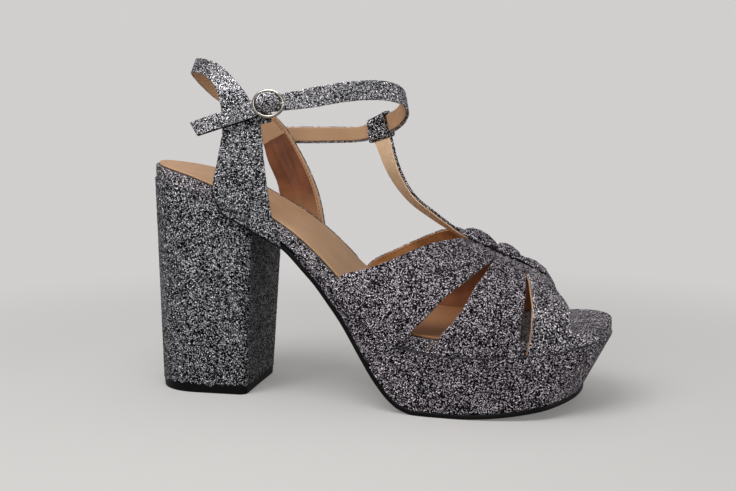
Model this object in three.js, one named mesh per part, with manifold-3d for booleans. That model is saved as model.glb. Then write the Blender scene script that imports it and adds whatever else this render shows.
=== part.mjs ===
// A right-foot platform sandal on a high block heel, in millimetres.
// X runs from the back of the heel to the toe, Y towards the inner side of the foot, Z up from the floor.
import * as THREE from 'three';
import { mergeVertices } from 'three/addons/utils/BufferGeometryUtils.js';
import Module from 'manifold-3d';

const wasm = await Module();
wasm.setup();

// Driving sizes of the last
const footLength = 229;
const ballWidth = 81;
const seatWidth = 56;
const seatHeight = 116.5;
const forefootHeight = 36.3;
const toeSpring = 5.7;
const instepHeight = 42;
const ankleRise = 52;

// Driving sizes of the sole pieces
const footbedThickness = 6.6;
const sockThickness = 1;
const sockInset = 1.2;
const sockFront = 0.723;
const outsoleThickness = 2.3;
const soleSpring = 7;
const toeUndercut = 12.5;
const platformStart = 0.346;
const platformMargin = 0.4;
const heelFloorLength = 52;
const heelTopLength = 57.5;
const heelFloorWidth = 47;
const heelTopWidth = 55.4;
const heelBackLean = 1.4;
const liftThickness = 5.6;

// Driving sizes of the straps and the buckle
const upperWall = 1.8;
const strapWidth = 10;
const strapWall = 1.7;
const humpHeight = 4.2;
const humpWidth = 13;
const humpWaist = 0.72;
const humpRound = 0.55;
const humpBase = 0.6;
const humpFall = 1.6;
const ringWidth = 16;
const ringRise = 13.6;
const wireRadius = 0.8;
const barRadius = 0.7;
const prongRadius = 0.6;
const prongTip = 0.36;
const tabLength = 9.4;
const tabRise = 8;
const tabWall = 1.2;
const tabRoot = 3.2;
const tabBite = 2.4;
const tabDrop = 3.6;
const loopWall = 1.4;
const ringBite = 0.35;
const gap = 0.3;

// How finely the curved forms are divided
const vampColumns = 20;
const vampStations = 32;
const stripStations = 52;
const stripColumns = 4;
const strapStations = 16;
const strapColumns = 2;
const ringStations = 32;
const wireSides = 8;
const barSides = 10;
const tabStations = 8;
const strapSteps = 4;
const blockStations = 5;
const cutStations = 7;
const cutLonger = 0.02;

// The sole's plan: half width as shares of the seat's and the ball's half widths, and the swing of
// its centre line as a share of the ball width, from the back of the heel to the toe
const plan = [
  { at: 0, seat: 0, ball: 0, swing: 0 },
  { at: 0.02, seat: 0.55, ball: 0, swing: 0 },
  { at: 0.05, seat: 0.8, ball: 0, swing: 0 },
  { at: 0.12, seat: 0.98, ball: 0, swing: 0 },
  { at: 0.2, seat: 1, ball: 0, swing: 0 },
  { at: 0.36, seat: 0.95, ball: 0, swing: -0.005 },
  { at: 0.42, seat: 0.815, ball: 0.1, swing: -0.012 },
  { at: 0.5, seat: 0.48, ball: 0.45, swing: -0.016 },
  { at: 0.58, seat: 0, ball: 0.91, swing: -0.012 },
  { at: 0.65, seat: 0, ball: 0.98, swing: -0.009 },
  { at: 0.72, seat: 0, ball: 1, swing: -0.006 },
  { at: 0.8, seat: 0, ball: 0.975, swing: 0 },
  { at: 0.87, seat: 0, ball: 0.9, swing: 0.006 },
  { at: 0.93, seat: 0, ball: 0.74, swing: 0.019 },
  { at: 0.97, seat: 0, ball: 0.53, swing: 0.031 },
  { at: 0.99, seat: 0, ball: 0.32, swing: 0.037 },
  { at: 1, seat: 0, ball: 0, swing: 0.04 },
];

// The top of the footbed in side view: its fall as a share of the pitch from seat to forefoot,
// and its rise as a share of the toe spring
const footbedProfile = [
  { at: 0, fall: 0.994, spring: 0 },
  { at: 0.1, fall: 0.925, spring: 0 },
  { at: 0.188, fall: 0.829, spring: 0 },
  { at: 0.254, fall: 0.732, spring: 0 },
  { at: 0.314, fall: 0.632, spring: 0 },
  { at: 0.358, fall: 0.539, spring: 0 },
  { at: 0.402, fall: 0.426, spring: 0 },
  { at: 0.445, fall: 0.302, spring: 0 },
  { at: 0.49, fall: 0.19, spring: 0 },
  { at: 0.533, fall: 0.1, spring: 0 },
  { at: 0.576, fall: 0.041, spring: 0 },
  { at: 0.62, fall: 0.011, spring: 0 },
  { at: 0.667, fall: 0, spring: 0 },
  { at: 0.758, fall: 0, spring: 0 },
  { at: 0.818, fall: 0, spring: 0.16 },
  { at: 0.889, fall: 0, spring: 0.42 },
  { at: 0.95, fall: 0, spring: 0.75 },
  { at: 1, fall: 0, spring: 1 },
];

// The underside of the outsole, in shares of the same pitch and of the sole's own spring
const outsoleProfile = [
  { at: 0.254, fall: 1.047, spring: 0 },
  { at: 0.28, fall: 0.998, spring: 0 },
  { at: 0.323, fall: 0.908, spring: 0 },
  { at: 0.358, fall: 0.802, spring: 0 },
  { at: 0.402, fall: 0.662, spring: 0 },
  { at: 0.445, fall: 0.502, spring: 0 },
  { at: 0.49, fall: 0.303, spring: 0 },
  { at: 0.515, fall: 0.193, spring: 0 },
  { at: 0.534, fall: 0.124, spring: 0 },
  { at: 0.554, fall: 0.065, spring: 0 },
  { at: 0.577, fall: 0.022, spring: 0 },
  { at: 0.607, fall: 0, spring: 0 },
  { at: 0.697, fall: 0, spring: 0 },
  { at: 0.743, fall: 0, spring: 0.07 },
  { at: 0.782, fall: 0, spring: 0.19 },
  { at: 0.82, fall: 0, spring: 0.36 },
  { at: 0.856, fall: 0, spring: 0.54 },
  { at: 0.895, fall: 0, spring: 0.76 },
  { at: 0.946, fall: 0, spring: 1 },
];

// Height of the last's ridge above the footbed, as a share of the instep height
const ridgeHeights = [
  { at: 0.395, rise: 1.68 },
  { at: 0.496, rise: 1.5 },
  { at: 0.556, rise: 1.38 },
  { at: 0.607, rise: 1.26 },
  { at: 0.657, rise: 1.13 },
  { at: 0.697, rise: 1.01 },
  { at: 0.743, rise: 0.9 },
  { at: 0.788, rise: 0.78 },
  { at: 0.829, rise: 0.66 },
  { at: 0.869, rise: 0.52 },
  { at: 0.919, rise: 0.34 },
];

// Rear and front edges of the vamp across the foot, from the outer seam (0) over the ridge (0.5)
// to the inner seam (1), as shares of the foot length
const vampEdges = [
  { across: 0, rear: 0.413, front: 0.909 },
  { across: 0.08, rear: 0.444, front: 0.914 },
  { across: 0.14, rear: 0.498, front: 0.911 },
  { across: 0.21, rear: 0.555, front: 0.91 },
  { across: 0.28, rear: 0.604, front: 0.902 },
  { across: 0.33, rear: 0.637, front: 0.887 },
  { across: 0.39, rear: 0.673, front: 0.873 },
  { across: 0.46, rear: 0.697, front: 0.866 },
  { across: 0.5, rear: 0.7, front: 0.865 },
  { across: 0.56, rear: 0.675, front: 0.855 },
  { across: 0.63, rear: 0.648, front: 0.86 },
  { across: 0.69, rear: 0.615, front: 0.868 },
  { across: 0.75, rear: 0.577, front: 0.878 },
  { across: 0.84, rear: 0.513, front: 0.888 },
  { across: 0.93, rear: 0.446, front: 0.903 },
  { across: 1, rear: 0.413, front: 0.909 },
];

// The gaps between the bands in side view: length as a share of the foot, height above the forefoot
// as a share of the instep height
const rearSlit = [
  { at: 0.756, up: 0.79 },
  { at: 0.733, up: 0.71 },
  { at: 0.697, up: 0.56 },
  { at: 0.678, up: 0.488 },
  { at: 0.659, up: 0.393 },
  { at: 0.64, up: 0.273 },
  { at: 0.604, up: 0.054 },
  { at: 0.583, up: -0.09 },
  { at: 0.57, up: -0.3 },
  { at: 0.63, up: -0.3 },
  { at: 0.643, up: -0.096 },
  { at: 0.659, up: 0.019 },
  { at: 0.682, up: 0.167 },
  { at: 0.705, up: 0.338 },
  { at: 0.726, up: 0.549 },
  { at: 0.742, up: 0.662 },
];
const frontSlit = [
  { at: 0.818, up: 0.673 },
  { at: 0.822, up: 0.567 },
  { at: 0.824, up: 0.471 },
  { at: 0.822, up: 0.388 },
  { at: 0.818, up: 0.234 },
  { at: 0.815, up: 0.069 },
  { at: 0.821, up: -0.16 },
  { at: 0.83, up: -0.16 },
  { at: 0.836, up: 0.047 },
  { at: 0.839, up: 0.193 },
  { at: 0.839, up: 0.31 },
  { at: 0.835, up: 0.458 },
  { at: 0.828, up: 0.597 },
];

// Strap sections. Each row gives the section's middle, along the foot, out from the centre line as
// a share of half the seat width and up from the seat as a share of the ankle rise, then the
// direction across the strap and its width as a share of the strap width.
const quarterRows = [
  { at: 0.258, out: -1.04, up: -0.64, toAt: 0.88, toOut: 0, toUp: -0.48, wide: 3.31 },
  { at: 0.237, out: -1.04, up: -0.38, toAt: 0.93, toOut: 0, toUp: -0.37, wide: 3.16 },
  { at: 0.235, out: -1.03, up: 0, toAt: 1, toOut: 0, toUp: -0.02, wide: 2.34 },
  { at: 0.236, out: -0.985, up: 0.33, toAt: 1, toOut: 0, toUp: 0.08, wide: 1.88 },
  { at: 0.219, out: -0.94, up: 0.57, toAt: 1, toOut: -0.07, toUp: 0.03, wide: 1.5 },
  { at: 0.187, out: -0.76, up: 0.74, toAt: 0.94, toOut: -0.24, toUp: 0.24, wide: 1.19 },
  { at: 0.147, out: -0.51, up: 0.86, toAt: 0.8, toOut: -0.4, toUp: 0.45, wide: 1.13 },
  { at: 0.089, out: -0.04, up: 0.9, toAt: 0.48, toOut: -0.32, toUp: 0.82, wide: 0.9 },
  { at: 0.105, out: 0.54, up: 0.73, toAt: 0.28, toOut: -0.14, toUp: 0.95, wide: 1.05 },
  { at: 0.177, out: 0.91, up: 0.48, toAt: 0.49, toOut: 0, toUp: 0.87, wide: 1.03 },
  { at: 0.22, out: 0.98, up: 0.31, toAt: 0.79, toOut: 0.01, toUp: 0.61, wide: 1.39 },
  { at: 0.256, out: 1, up: 0, toAt: 0.98, toOut: 0, toUp: 0.21, wide: 1.94 },
  { at: 0.286, out: 1.03, up: -0.32, toAt: 0.99, toOut: 0, toUp: -0.15, wide: 2.3 },
  { at: 0.299, out: 1.04, up: -0.7, toAt: 0.91, toOut: 0, toUp: -0.42, wide: 2.86 },
];
const ankleRows = [
  { at: 0.209, out: 1.07, up: 0.24, toAt: 0, toOut: 0, toUp: 1, wide: 0.9 },
  { at: 0.275, out: 1.07, up: 0.24, toAt: 0, toOut: 0, toUp: 1, wide: 0.9 },
  { at: 0.366, out: 0.99, up: 0.24, toAt: 0, toOut: 0, toUp: 1, wide: 0.87 },
  { at: 0.444, out: 0.86, up: 0.25, toAt: -0.05, toOut: 0, toUp: 1, wide: 0.82 },
  { at: 0.507, out: 0.57, up: 0.33, toAt: -0.21, toOut: 0, toUp: 0.98, wide: 0.96 },
  { at: 0.547, out: 0.24, up: 0.42, toAt: -0.18, toOut: -0.05, toUp: 0.98, wide: 0.98 },
  { at: 0.564, out: -0.07, up: 0.52, toAt: -0.14, toOut: -0.2, toUp: 0.97, wide: 1 },
  { at: 0.558, out: -0.33, up: 0.59, toAt: -0.14, toOut: -0.16, toUp: 0.98, wide: 0.94 },
  { at: 0.526, out: -0.66, up: 0.63, toAt: -0.02, toOut: 0, toUp: 1, wide: 0.91 },
  { at: 0.465, out: -0.89, up: 0.62, toAt: 0, toOut: 0, toUp: 1, wide: 0.92 },
  { at: 0.393, out: -1, up: 0.57, toAt: 0, toOut: 0, toUp: 1, wide: 0.93 },
  { at: 0.34, out: -1.055, up: 0.535, toAt: -0.06, toOut: 0, toUp: 1, wide: 0.82 },
  { at: 0.322, out: -1.062, up: 0.525, toAt: -0.08, toOut: 0, toUp: 1, wide: 0.8 },
  { at: 0.301, out: -1.163, up: 0.515, toAt: -0.1, toOut: 0, toUp: 1, wide: 0.82 },
  { at: 0.281, out: -1.062, up: 0.492, toAt: -0.16, toOut: 0, toUp: 0.99, wide: 0.7 },
  { at: 0.26, out: -1.062, up: 0.46, toAt: -0.25, toOut: 0, toUp: 0.97, wide: 0.74 },
  { at: 0.191, out: -1.08, up: 0.37, toAt: -0.35, toOut: 0, toUp: 0.93, wide: 0.72 },
  { at: 0.135, out: -1.08, up: 0.295, toAt: -0.5, toOut: 0, toUp: 0.86, wide: 0.72 },
];
const tRows = [
  { at: 0.707, out: 0.02, up: -0.016, toAt: 0.62, toOut: -0.78, toUp: -0.04, wide: 1.28 },
  { at: 0.679, out: 0.02, up: 0.048, toAt: 0.55, toOut: -0.84, toUp: -0.06, wide: 1.32 },
  { at: 0.621, out: 0.12, up: 0.219, toAt: 0.28, toOut: -0.92, toUp: 0.26, wide: 1.19 },
  { at: 0.571, out: 0.25, up: 0.39, toAt: 0.34, toOut: -0.88, toUp: 0.33, wide: 1.14 },
  { at: 0.531, out: 0.38, up: 0.647, toAt: 0.58, toOut: -0.72, toUp: 0.39, wide: 1.11 },
  { at: 0.498, out: 0.62, up: 1, toAt: 0.83, toOut: -0.5, toUp: 0.25, wide: 1.2 },
];
const loopStart = 0.196;
const loopEnd = 0.245;
const loopRise = 0.2;

const vector = (x, y, z) => new THREE.Vector3(x, y, z);
const mix = THREE.MathUtils.lerp;
const clamp = THREE.MathUtils.clamp;

// A smooth curve through the given points that never overshoots them, as a function of x
function smooth(xs, ys) {
  const steps = xs.slice(1).map((x, i) => x - xs[i]);
  const slopes = steps.map((step, i) => (ys[i + 1] - ys[i]) / step);
  const tangents = xs.map((x, i) => {
    if (i === 0) return slopes[0];
    if (i === xs.length - 1) return slopes[i - 1];
    const [before, after] = [slopes[i - 1], slopes[i]];
    if (before * after <= 0) return 0;
    const [wideBefore, wideAfter] = [2 * steps[i] + steps[i - 1], steps[i] + 2 * steps[i - 1]];
    return (wideBefore + wideAfter) / (wideBefore / before + wideAfter / after);
  });
  return (x) => {
    const bounded = clamp(x, xs[0], xs[xs.length - 1]);
    let i = 0;
    while (i < xs.length - 2 && bounded > xs[i + 1]) i += 1;
    const t = (bounded - xs[i]) / steps[i];
    const rest = 1 - t;
    return ys[i] * rest * rest * (1 + 2 * t) + tangents[i] * steps[i] * t * rest * rest
      + ys[i + 1] * t * t * (3 - 2 * t) - tangents[i + 1] * steps[i] * t * t * rest;
  };
}

const column = (rows, name, key = 'at') => smooth(rows.map((row) => row[key]), rows.map((row) => row[name]));

// Half width and centre of the sole at a share of its length; the turn angle keeps both ends round
const turnOf = (share) => Math.acos(1 - 2 * clamp(share, 0, 1));
const turns = plan.map((row) => turnOf(row.at));
const halfWidths = smooth(turns, plan.map((row) => (row.seat * seatWidth + row.ball * ballWidth) / 2));
const swings = smooth(turns, plan.map((row) => row.swing * ballWidth));
const halfAt = (share) => halfWidths(turnOf(share));
const centreAt = (share) => swings(turnOf(share));

const pitch = seatHeight - forefootHeight;
const footbedFall = column(footbedProfile, 'fall');
const footbedSpring = column(footbedProfile, 'spring');
const outsoleFall = column(outsoleProfile, 'fall');
const outsoleSpring = column(outsoleProfile, 'spring');
const slopeOf = (height, x) => (height(x + 0.5) - height(x - 0.5));
// Thickness measured straight up through a sheet that slopes in side view
const upright = (height, x, thickness) => thickness * Math.hypot(1, slopeOf(height, x));

function treadTop(x) {
  const share = x / footLength;
  return forefootHeight + footbedFall(share) * pitch + footbedSpring(share) * toeSpring;
}
const footbedTop = (x) => treadTop(x) - gap - sockThickness / 2;
const footbedUnder = (x) => footbedTop(x) - upright(footbedTop, x, footbedThickness);
function outsoleDrawn(x) {
  const share = x / footLength;
  return outsoleFall(share) * pitch + outsoleSpring(share) * soleSpring;
}
const outsoleTop = (x) => Math.min(
  outsoleDrawn(x) + upright(outsoleDrawn, x, outsoleThickness),
  footbedUnder(x) - upright(footbedUnder, x, gap),
);
const outsoleUnder = (x) => outsoleTop(x) - upright(outsoleDrawn, x, outsoleThickness);

// A closed solid between an outer and an inner face, both functions of u along and v across
function slab(outer, inner, along, across, spread = (u) => u) {
  const points = [];
  for (const face of [outer, inner]) {
    for (let i = 0; i <= along; i += 1) {
      for (let j = 0; j <= across; j += 1) points.push(face(spread(i / along), j / across));
    }
  }
  const layer = (along + 1) * (across + 1);
  const at = (i, j, side = 0) => side * layer + i * (across + 1) + j;
  const faces = [];
  const quad = (a, b, c, d) => faces.push(a, b, c, a, c, d);
  for (let i = 0; i < along; i += 1) {
    for (let j = 0; j < across; j += 1) {
      quad(at(i, j), at(i + 1, j), at(i + 1, j + 1), at(i, j + 1));
      quad(at(i, j, 1), at(i, j + 1, 1), at(i + 1, j + 1, 1), at(i + 1, j, 1));
    }
  }
  for (let i = 0; i < along; i += 1) {
    quad(at(i + 1, 0), at(i, 0), at(i, 0, 1), at(i + 1, 0, 1));
    quad(at(i, across), at(i + 1, across), at(i + 1, across, 1), at(i, across, 1));
  }
  for (let j = 0; j < across; j += 1) {
    quad(at(0, j), at(0, j + 1), at(0, j + 1, 1), at(0, j, 1));
    quad(at(along, j + 1), at(along, j), at(along, j, 1), at(along, j + 1, 1));
  }
  const geometry = new THREE.BufferGeometry().setFromPoints(points);
  geometry.setIndex(faces);
  return geometry;
}

// Outward direction of a surface given by u along and v across
function outward(surface, u, v) {
  const step = 0.002;
  const du = surface(Math.min(u + step, 1), v).sub(surface(Math.max(u - step, 0), v));
  const dv = surface(u, Math.min(v + step, 1)).sub(surface(u, Math.max(v - step, 0)));
  return du.cross(dv).normalize();
}

// A sheet of even wall whose inner and outer faces lie at the given distances from a surface
function sheet(surface, innerAt, outerAt, along, across, spread) {
  const moved = (distance) => (u, v) => surface(u, v).addScaledVector(outward(surface, u, v), distance);
  return slab(moved(outerAt), moved(innerAt), along, across, spread);
}

function solidOf(geometry) {
  const bare = geometry.clone();
  bare.deleteAttribute('normal');
  bare.deleteAttribute('uv');
  const merged = mergeVertices(bare, 1e-4);
  return new wasm.Manifold(new wasm.Mesh({
    numProp: 3,
    vertProperties: new Float32Array(merged.attributes.position.array),
    triVerts: new Uint32Array(merged.index.array),
  }));
}

function geometryOf(solid) {
  const mesh = solid.getMesh();
  const geometry = new THREE.BufferGeometry();
  geometry.setAttribute('position', new THREE.BufferAttribute(new Float32Array(mesh.vertProperties), 3));
  geometry.setIndex(Array.from(mesh.triVerts));
  return geometry;
}

// Stations crowd towards both ends, where the plan turns
const crowdEnds = (u) => mix(u, (1 - Math.cos(Math.PI * u)) / 2, 0.6);
const leastHalf = 1;

// A point on a plan outline drawn in by an inset, at a share of its length and v across
function planPoint(share, v, inset, height) {
  const half = Math.max(halfAt(share) - inset, leastHalf);
  const x = inset + share * (footLength - 2 * inset);
  return vector(x, centreAt(share) + mix(-half, half, v), height(x));
}

// The sole's lower outline leans back under the toe
const undercutStart = 0.7;
function lowerX(share) {
  const lean = clamp((share - undercutStart) / (1 - undercutStart), 0, 1);
  return share * footLength - toeUndercut * lean * lean;
}

function makeFootbed() {
  return slab(
    (u, v) => planPoint(u, v, 0, footbedTop),
    (u, v) => planPoint(u, v, 0, footbedUnder),
    64, 2, crowdEnds,
  );
}

function makeSock() {
  const face = (lift) => (u, v) => planPoint(u * sockFront, v, sockInset, (x) => footbedTop(x) + upright(footbedTop, x, gap + lift));
  const crowdStart = (u) => u * u * 0.6 + u * 0.4;
  return slab(face(sockThickness), face(0), 44, 2, crowdStart);
}

// Beside the vamp the platform stands out as far as the vamp's wall, and it draws in at both ends
function platformReach(share) {
  const fromShank = clamp((share - 0.385) / 0.035, 0, 1);
  const toToe = clamp((share - 0.9) / 0.06, 0, 1);
  return mix(gap + upperWall, platformMargin, toToe) * fromShank;
}

function lowerPoint(share, v, height) {
  const tuck = 0.6;
  const half = Math.max(halfAt(share) + platformReach(share) - tuck, leastHalf);
  const x = lowerX(share);
  return vector(x, centreAt(share) + mix(-half, half, v), height(x));
}

const crowdToe = (start) => (u) => mix(start, 1, Math.sin(u * Math.PI / 2));

function makePlatform() {
  const reach = (share) => halfAt(share) + platformReach(share);
  const upper = (share, v) => {
    const x = share * footLength + platformMargin * clamp((share - 0.95) / 0.05, 0, 1);
    return vector(x, centreAt(share) + mix(-1, 1, v) * Math.max(reach(share), leastHalf),
      footbedUnder(x) - upright(footbedUnder, x, gap));
  };
  const lower = (share, v) => lowerPoint(share, v, (x) => outsoleTop(x) + upright(outsoleTop, x, gap));
  return slab(upper, lower, 56, 2, crowdToe(platformStart));
}

function makeOutsole() {
  const start = (heelTopLength + gap) / footLength;
  return slab(
    (share, v) => lowerPoint(share, v, outsoleTop),
    (share, v) => lowerPoint(share, v, outsoleUnder),
    60, 2, crowdToe(start),
  );
}

// Half width of the heel's section: a round back, nearly straight sides and a flat breast
function heelHalf(share, half) {
  const roundBack = 0.5;
  const corner = 0.07;
  const back = share < roundBack ? (1 - (1 - share / roundBack) ** 2.3) ** 0.46 : 1;
  const front = share > 1 - corner ? 1 - 0.09 * ((share - 1 + corner) / corner) ** 2 : 1;
  return Math.max(half * back * front, leastHalf);
}

function heelPoint(share, v, height, level) {
  const length = mix(heelFloorLength, heelTopLength, level);
  const start = mix(heelBackLean, 0, Math.sqrt(level));
  const half = heelHalf(share, mix(heelFloorWidth, heelTopWidth, level) / 2);
  const x = start + share * (length - start);
  return vector(x, mix(-half, half, v), height(x));
}

// The lift's top as a level of the heel's taper
const liftLevel = 0.05;
const crowdBack = (u) => 0.72 * u * u + 0.28 * u;
const heelSpread = (u) => (u < 0.86 ? crowdBack(u / 0.86) * 0.93 : 0.93 + (u - 0.86) / 0.14 * 0.07);

function makeHeel() {
  return slab(
    (u, v) => heelPoint(u, v, (x) => footbedUnder(x) - upright(footbedUnder, x, gap), 1),
    (u, v) => heelPoint(u, v, () => liftThickness + gap, liftLevel),
    29, 2, heelSpread,
  );
}

function makeLift() {
  return slab(
    (u, v) => heelPoint(u, v, () => liftThickness, liftLevel),
    (u, v) => heelPoint(u, v, () => 0, 0),
    29, 2, heelSpread,
  );
}

// The vamp's inner face: up beside the footbed, then an arch over the last
const ridgeRise = column(ridgeHeights, 'rise');
const vampRear = column(vampEdges, 'rear', 'across');
const vampFront = column(vampEdges, 'front', 'across');
const sideShare = 0.08;
const archPower = 0.91;
const ridgeSwing = 4;
const seamLift = 0.6;
// The seam stands a little higher where the sole is steep
const seamHeight = (x) => footbedUnder(x) + seamLift * Math.abs(slopeOf(footbedUnder, x));

function lastPoint(share, v) {
  const x = share * footLength;
  const half = halfAt(share) + gap;
  const outer = v < 0.5;
  const fromSeam = outer ? v : 1 - v;
  const sign = outer ? -1 : 1;
  if (fromSeam < sideShare) {
    return vector(x, centreAt(share) + sign * half, mix(seamHeight(x), treadTop(x), fromSeam / sideShare));
  }
  const turn = (fromSeam - sideShare) / (0.5 - sideShare) * Math.PI / 2;
  const rise = Math.sin(turn) ** archPower * ridgeRise(share) * instepHeight;
  const lean = ridgeSwing * Math.sin(turn) ** 2;
  return vector(x, centreAt(share) + sign * half * Math.cos(turn) ** archPower + lean, treadTop(x) + rise);
}

const vampInner = (u, v) => lastPoint(mix(vampRear(v), vampFront(v), u), v);

// A cutter for a gap between two bands, through one side of the vamp only: on the inner side the
// gaps lie further back
const innerRearShift = -0.055;
const innerFrontShift = -0.04;
function slitCutter(rows, sign, shift) {
  const shape = new THREE.Shape(rows.map((row) => new THREE.Vector2(
    (row.at + shift) * footLength,
    forefootHeight + row.up * instepHeight,
  )));
  const inner = humpWidth / 4;
  const geometry = new THREE.ExtrudeGeometry(shape, { depth: ballWidth, bevelEnabled: false });
  geometry.rotateX(Math.PI / 2);
  geometry.translate(0, sign > 0 ? inner + ballWidth : -inner, 0);
  return solidOf(geometry);
}

// The knot: one strip along the ridge, drawn up into three humps
const knotRows = [
  { from: 0.69, to: 0.758, rise: 0.86 },
  { from: 0.758, to: 0.81, rise: 0.82 },
  { from: 0.81, to: 0.866, rise: 0.42 },
];

function humpAt(share) {
  const row = knotRows.find((item) => share <= item.to) ?? knotRows[knotRows.length - 1];
  const t = clamp((share - row.from) / (row.to - row.from), 0, 1);
  return row.rise * Math.sin(Math.PI * t) ** 0.6;
}

function makeKnot() {
  const start = knotRows[0].from;
  const end = knotRows[knotRows.length - 1].to;
  const ridge = (share) => lastPoint(share, 0.5);
  const face = (level) => (u, v) => {
    const share = mix(start, end, u);
    const hump = humpAt(share);
    const half = humpWidth / 2 * mix(humpWaist, 1, hump);
    const side = mix(-1, 1, v);
    const crown = 1 - humpRound * side * side;
    const top = upperWall + humpBase + humpHeight * hump * crown;
    const bottom = upperWall * 0.4 - humpFall * side * side;
    const point = ridge(share);
    point.y += side * half;
    point.z += mix(bottom, top, level);
    return point;
  };
  return slab(face(1), face(0), 27, 4);
}

// A strap's surface from its table of sections
function strapSurface(rows, wider = 0, heightOf = (up) => seatHeight + up * ankleRise) {
  const middles = rows.map((row) => vector(row.at * footLength, row.out * seatWidth / 2, heightOf(row.up)));
  const across = rows.map((row) => vector(row.toAt, row.toOut, row.toUp)
    .setLength(row.wide * strapWidth / 2 + wider));
  const nearEdge = new THREE.CatmullRomCurve3(middles.map((point, i) => point.clone().sub(across[i])));
  const farEdge = new THREE.CatmullRomCurve3(middles.map((point, i) => point.clone().add(across[i])));
  return (u, v) => nearEdge.getPoint(u).lerp(farEdge.getPoint(u), v);
}

const quarterSurface = strapSurface(quarterRows);
const ankleSurface = strapSurface(ankleRows);
const tSurface = strapSurface(
  tRows, 0, (up) => mix(forefootHeight + instepHeight, seatHeight + loopRise * ankleRise, up),
);

function makeVamp() {
  let solid = solidOf(sheet(vampInner, 0, upperWall, vampColumns, vampStations));
  for (const rows of [rearSlit, frontSlit]) {
    solid = solid.subtract(slitCutter(rows, -1, 0));
  }
  solid = solid.subtract(slitCutter(rearSlit, 1, innerRearShift));
  solid = solid.subtract(slitCutter(frontSlit, 1, innerFrontShift));
  const strap = solidOf(sheet(tSurface, -strapWall / 2, strapWall / 2, strapStations, strapColumns));
  return geometryOf(solid.add(solidOf(makeKnot())).add(strap).add(makeLoop()));
}

// The loop at the T-strap's top end, around the ankle strap
function makeLoop() {
  const block = (clearance, longer, stations) => {
    const surface = strapSurface(ankleRows, clearance);
    const stretch = (u, v) => surface(mix(loopStart - longer, loopEnd + longer, u), v);
    return solidOf(sheet(stretch, -strapWall / 2 - clearance, strapWall / 2 + clearance, stations, strapColumns));
  };
  return block(gap + loopWall, 0, blockStations).subtract(block(gap, cutLonger, cutStations));
}

// The two quarters and the back strap are one strip; the buckle's tab is sewn to its front edge
function makeQuarters() {
  const strip = solidOf(sheet(quarterSurface, -strapWall / 2, strapWall / 2, stripStations, stripColumns));
  return geometryOf(strip.add(solidOf(makeTab())));
}

function makeAnkleStrap() {
  return sheet(ankleSurface, -strapWall / 2, strapWall / 2, strapSteps * (ankleRows.length - 1), strapColumns);
}

// The buckle: an oval ring in front of the strap and a bar behind it, where the strap passes over
const barRow = 13;
const prongRow = 12.3;
const barPoint = ankleSurface(barRow / (ankleRows.length - 1), 0.5);
const barDepth = barPoint.y + strapWall / 2 + gap + barRadius;
const ringDepth = barDepth - barRadius - wireRadius + ringBite;
const ringMiddle = vector(barPoint.x, ringDepth, barPoint.z);

function makeBuckle() {
  const reach = ringWidth / 2 - wireRadius;
  const rise = ringRise / 2 - wireRadius;
  const oval = new THREE.EllipseCurve(0, 0, reach, rise);
  const ringPoint = (u, v) => {
    const turn = 2 * Math.PI * u;
    const round = -2 * Math.PI * v;
    const middle = oval.getPoint(u);
    const away = new THREE.Vector2(Math.cos(turn) * rise, Math.sin(turn) * reach).normalize();
    const out = wireRadius * Math.cos(round);
    return vector(middle.x + away.x * out, wireRadius * Math.sin(round), middle.y + away.y * out).add(ringMiddle);
  };
  const bar = new THREE.CylinderGeometry(barRadius, barRadius, 2 * rise, barSides);
  bar.rotateX(Math.PI / 2);
  bar.translate(ringMiddle.x, barDepth, ringMiddle.z);
  return geometryOf(solidOf(closedTube(ringPoint, ringStations, wireSides)).add(solidOf(bar)));
}

// The tab leaves the quarter's front edge and passes behind the bar
function makeTab() {
  const root = quarterSurface(tabRoot / (quarterRows.length - 1), 1);
  const behind = barDepth + barRadius + gap + tabWall / 2;
  const bend = smooth([0, 0.35, 0.85, 1], [root.y, root.y, behind, behind]);
  const surface = (u, v) => vector(
    root.x - tabBite + u * tabLength,
    bend(u),
    ringMiddle.z - ringRise / 2 - tabDrop + v * tabRise,
  );
  return sheet(surface, -tabWall / 2, tabWall / 2, tabStations, 1);
}

// A tube closed on itself both ways, from its surface
function closedTube(surface, along, around) {
  const points = [];
  const faces = [];
  for (let i = 0; i < along; i += 1) {
    for (let j = 0; j < around; j += 1) {
      points.push(surface(i / along, j / around));
      const [nextI, nextJ] = [(i + 1) % along, (j + 1) % around];
      const [a, b] = [i * around + j, nextI * around + j];
      const [c, d] = [nextI * around + nextJ, i * around + nextJ];
      faces.push(a, b, c, a, c, d);
    }
  }
  const geometry = new THREE.BufferGeometry().setFromPoints(points);
  geometry.setIndex(faces);
  return geometry;
}

// The prong's visible end: from its hole in the strap to the ring's front side
function makeProng() {
  const hole = ankleSurface(prongRow / (ankleRows.length - 1), 0.5);
  const start = vector(hole.x, hole.y - strapWall / 2 - gap - prongRadius, barPoint.z);
  const tip = vector(ringMiddle.x + ringWidth / 2, ringDepth - wireRadius - gap - prongTip, ringMiddle.z);
  const prong = new THREE.CylinderGeometry(prongTip, prongRadius, start.distanceTo(tip), 8);
  prong.rotateZ(Math.atan2(tip.y - start.y, tip.x - start.x) - Math.PI / 2);
  const middle = start.clone().lerp(tip, 0.5);
  prong.translate(middle.x, middle.y, middle.z);
  return prong;
}

const finish = {
  glitter: { color: 0x6f6d74, roughness: 0.55, metalness: 0.35 },
  lining: { color: 0xc98f5c, roughness: 0.6, metalness: 0 },
  rubber: { color: 0x17171a, roughness: 0.5, metalness: 0 },
  metal: { color: 0xcfc6b4, roughness: 0.25, metalness: 1 },
};

const shoe = new THREE.Group();

function add(name, geometry, look) {
  const mesh = new THREE.Mesh(geometry, new THREE.MeshStandardMaterial(finish[look]));
  mesh.name = name;
  shoe.add(mesh);
}

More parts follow.
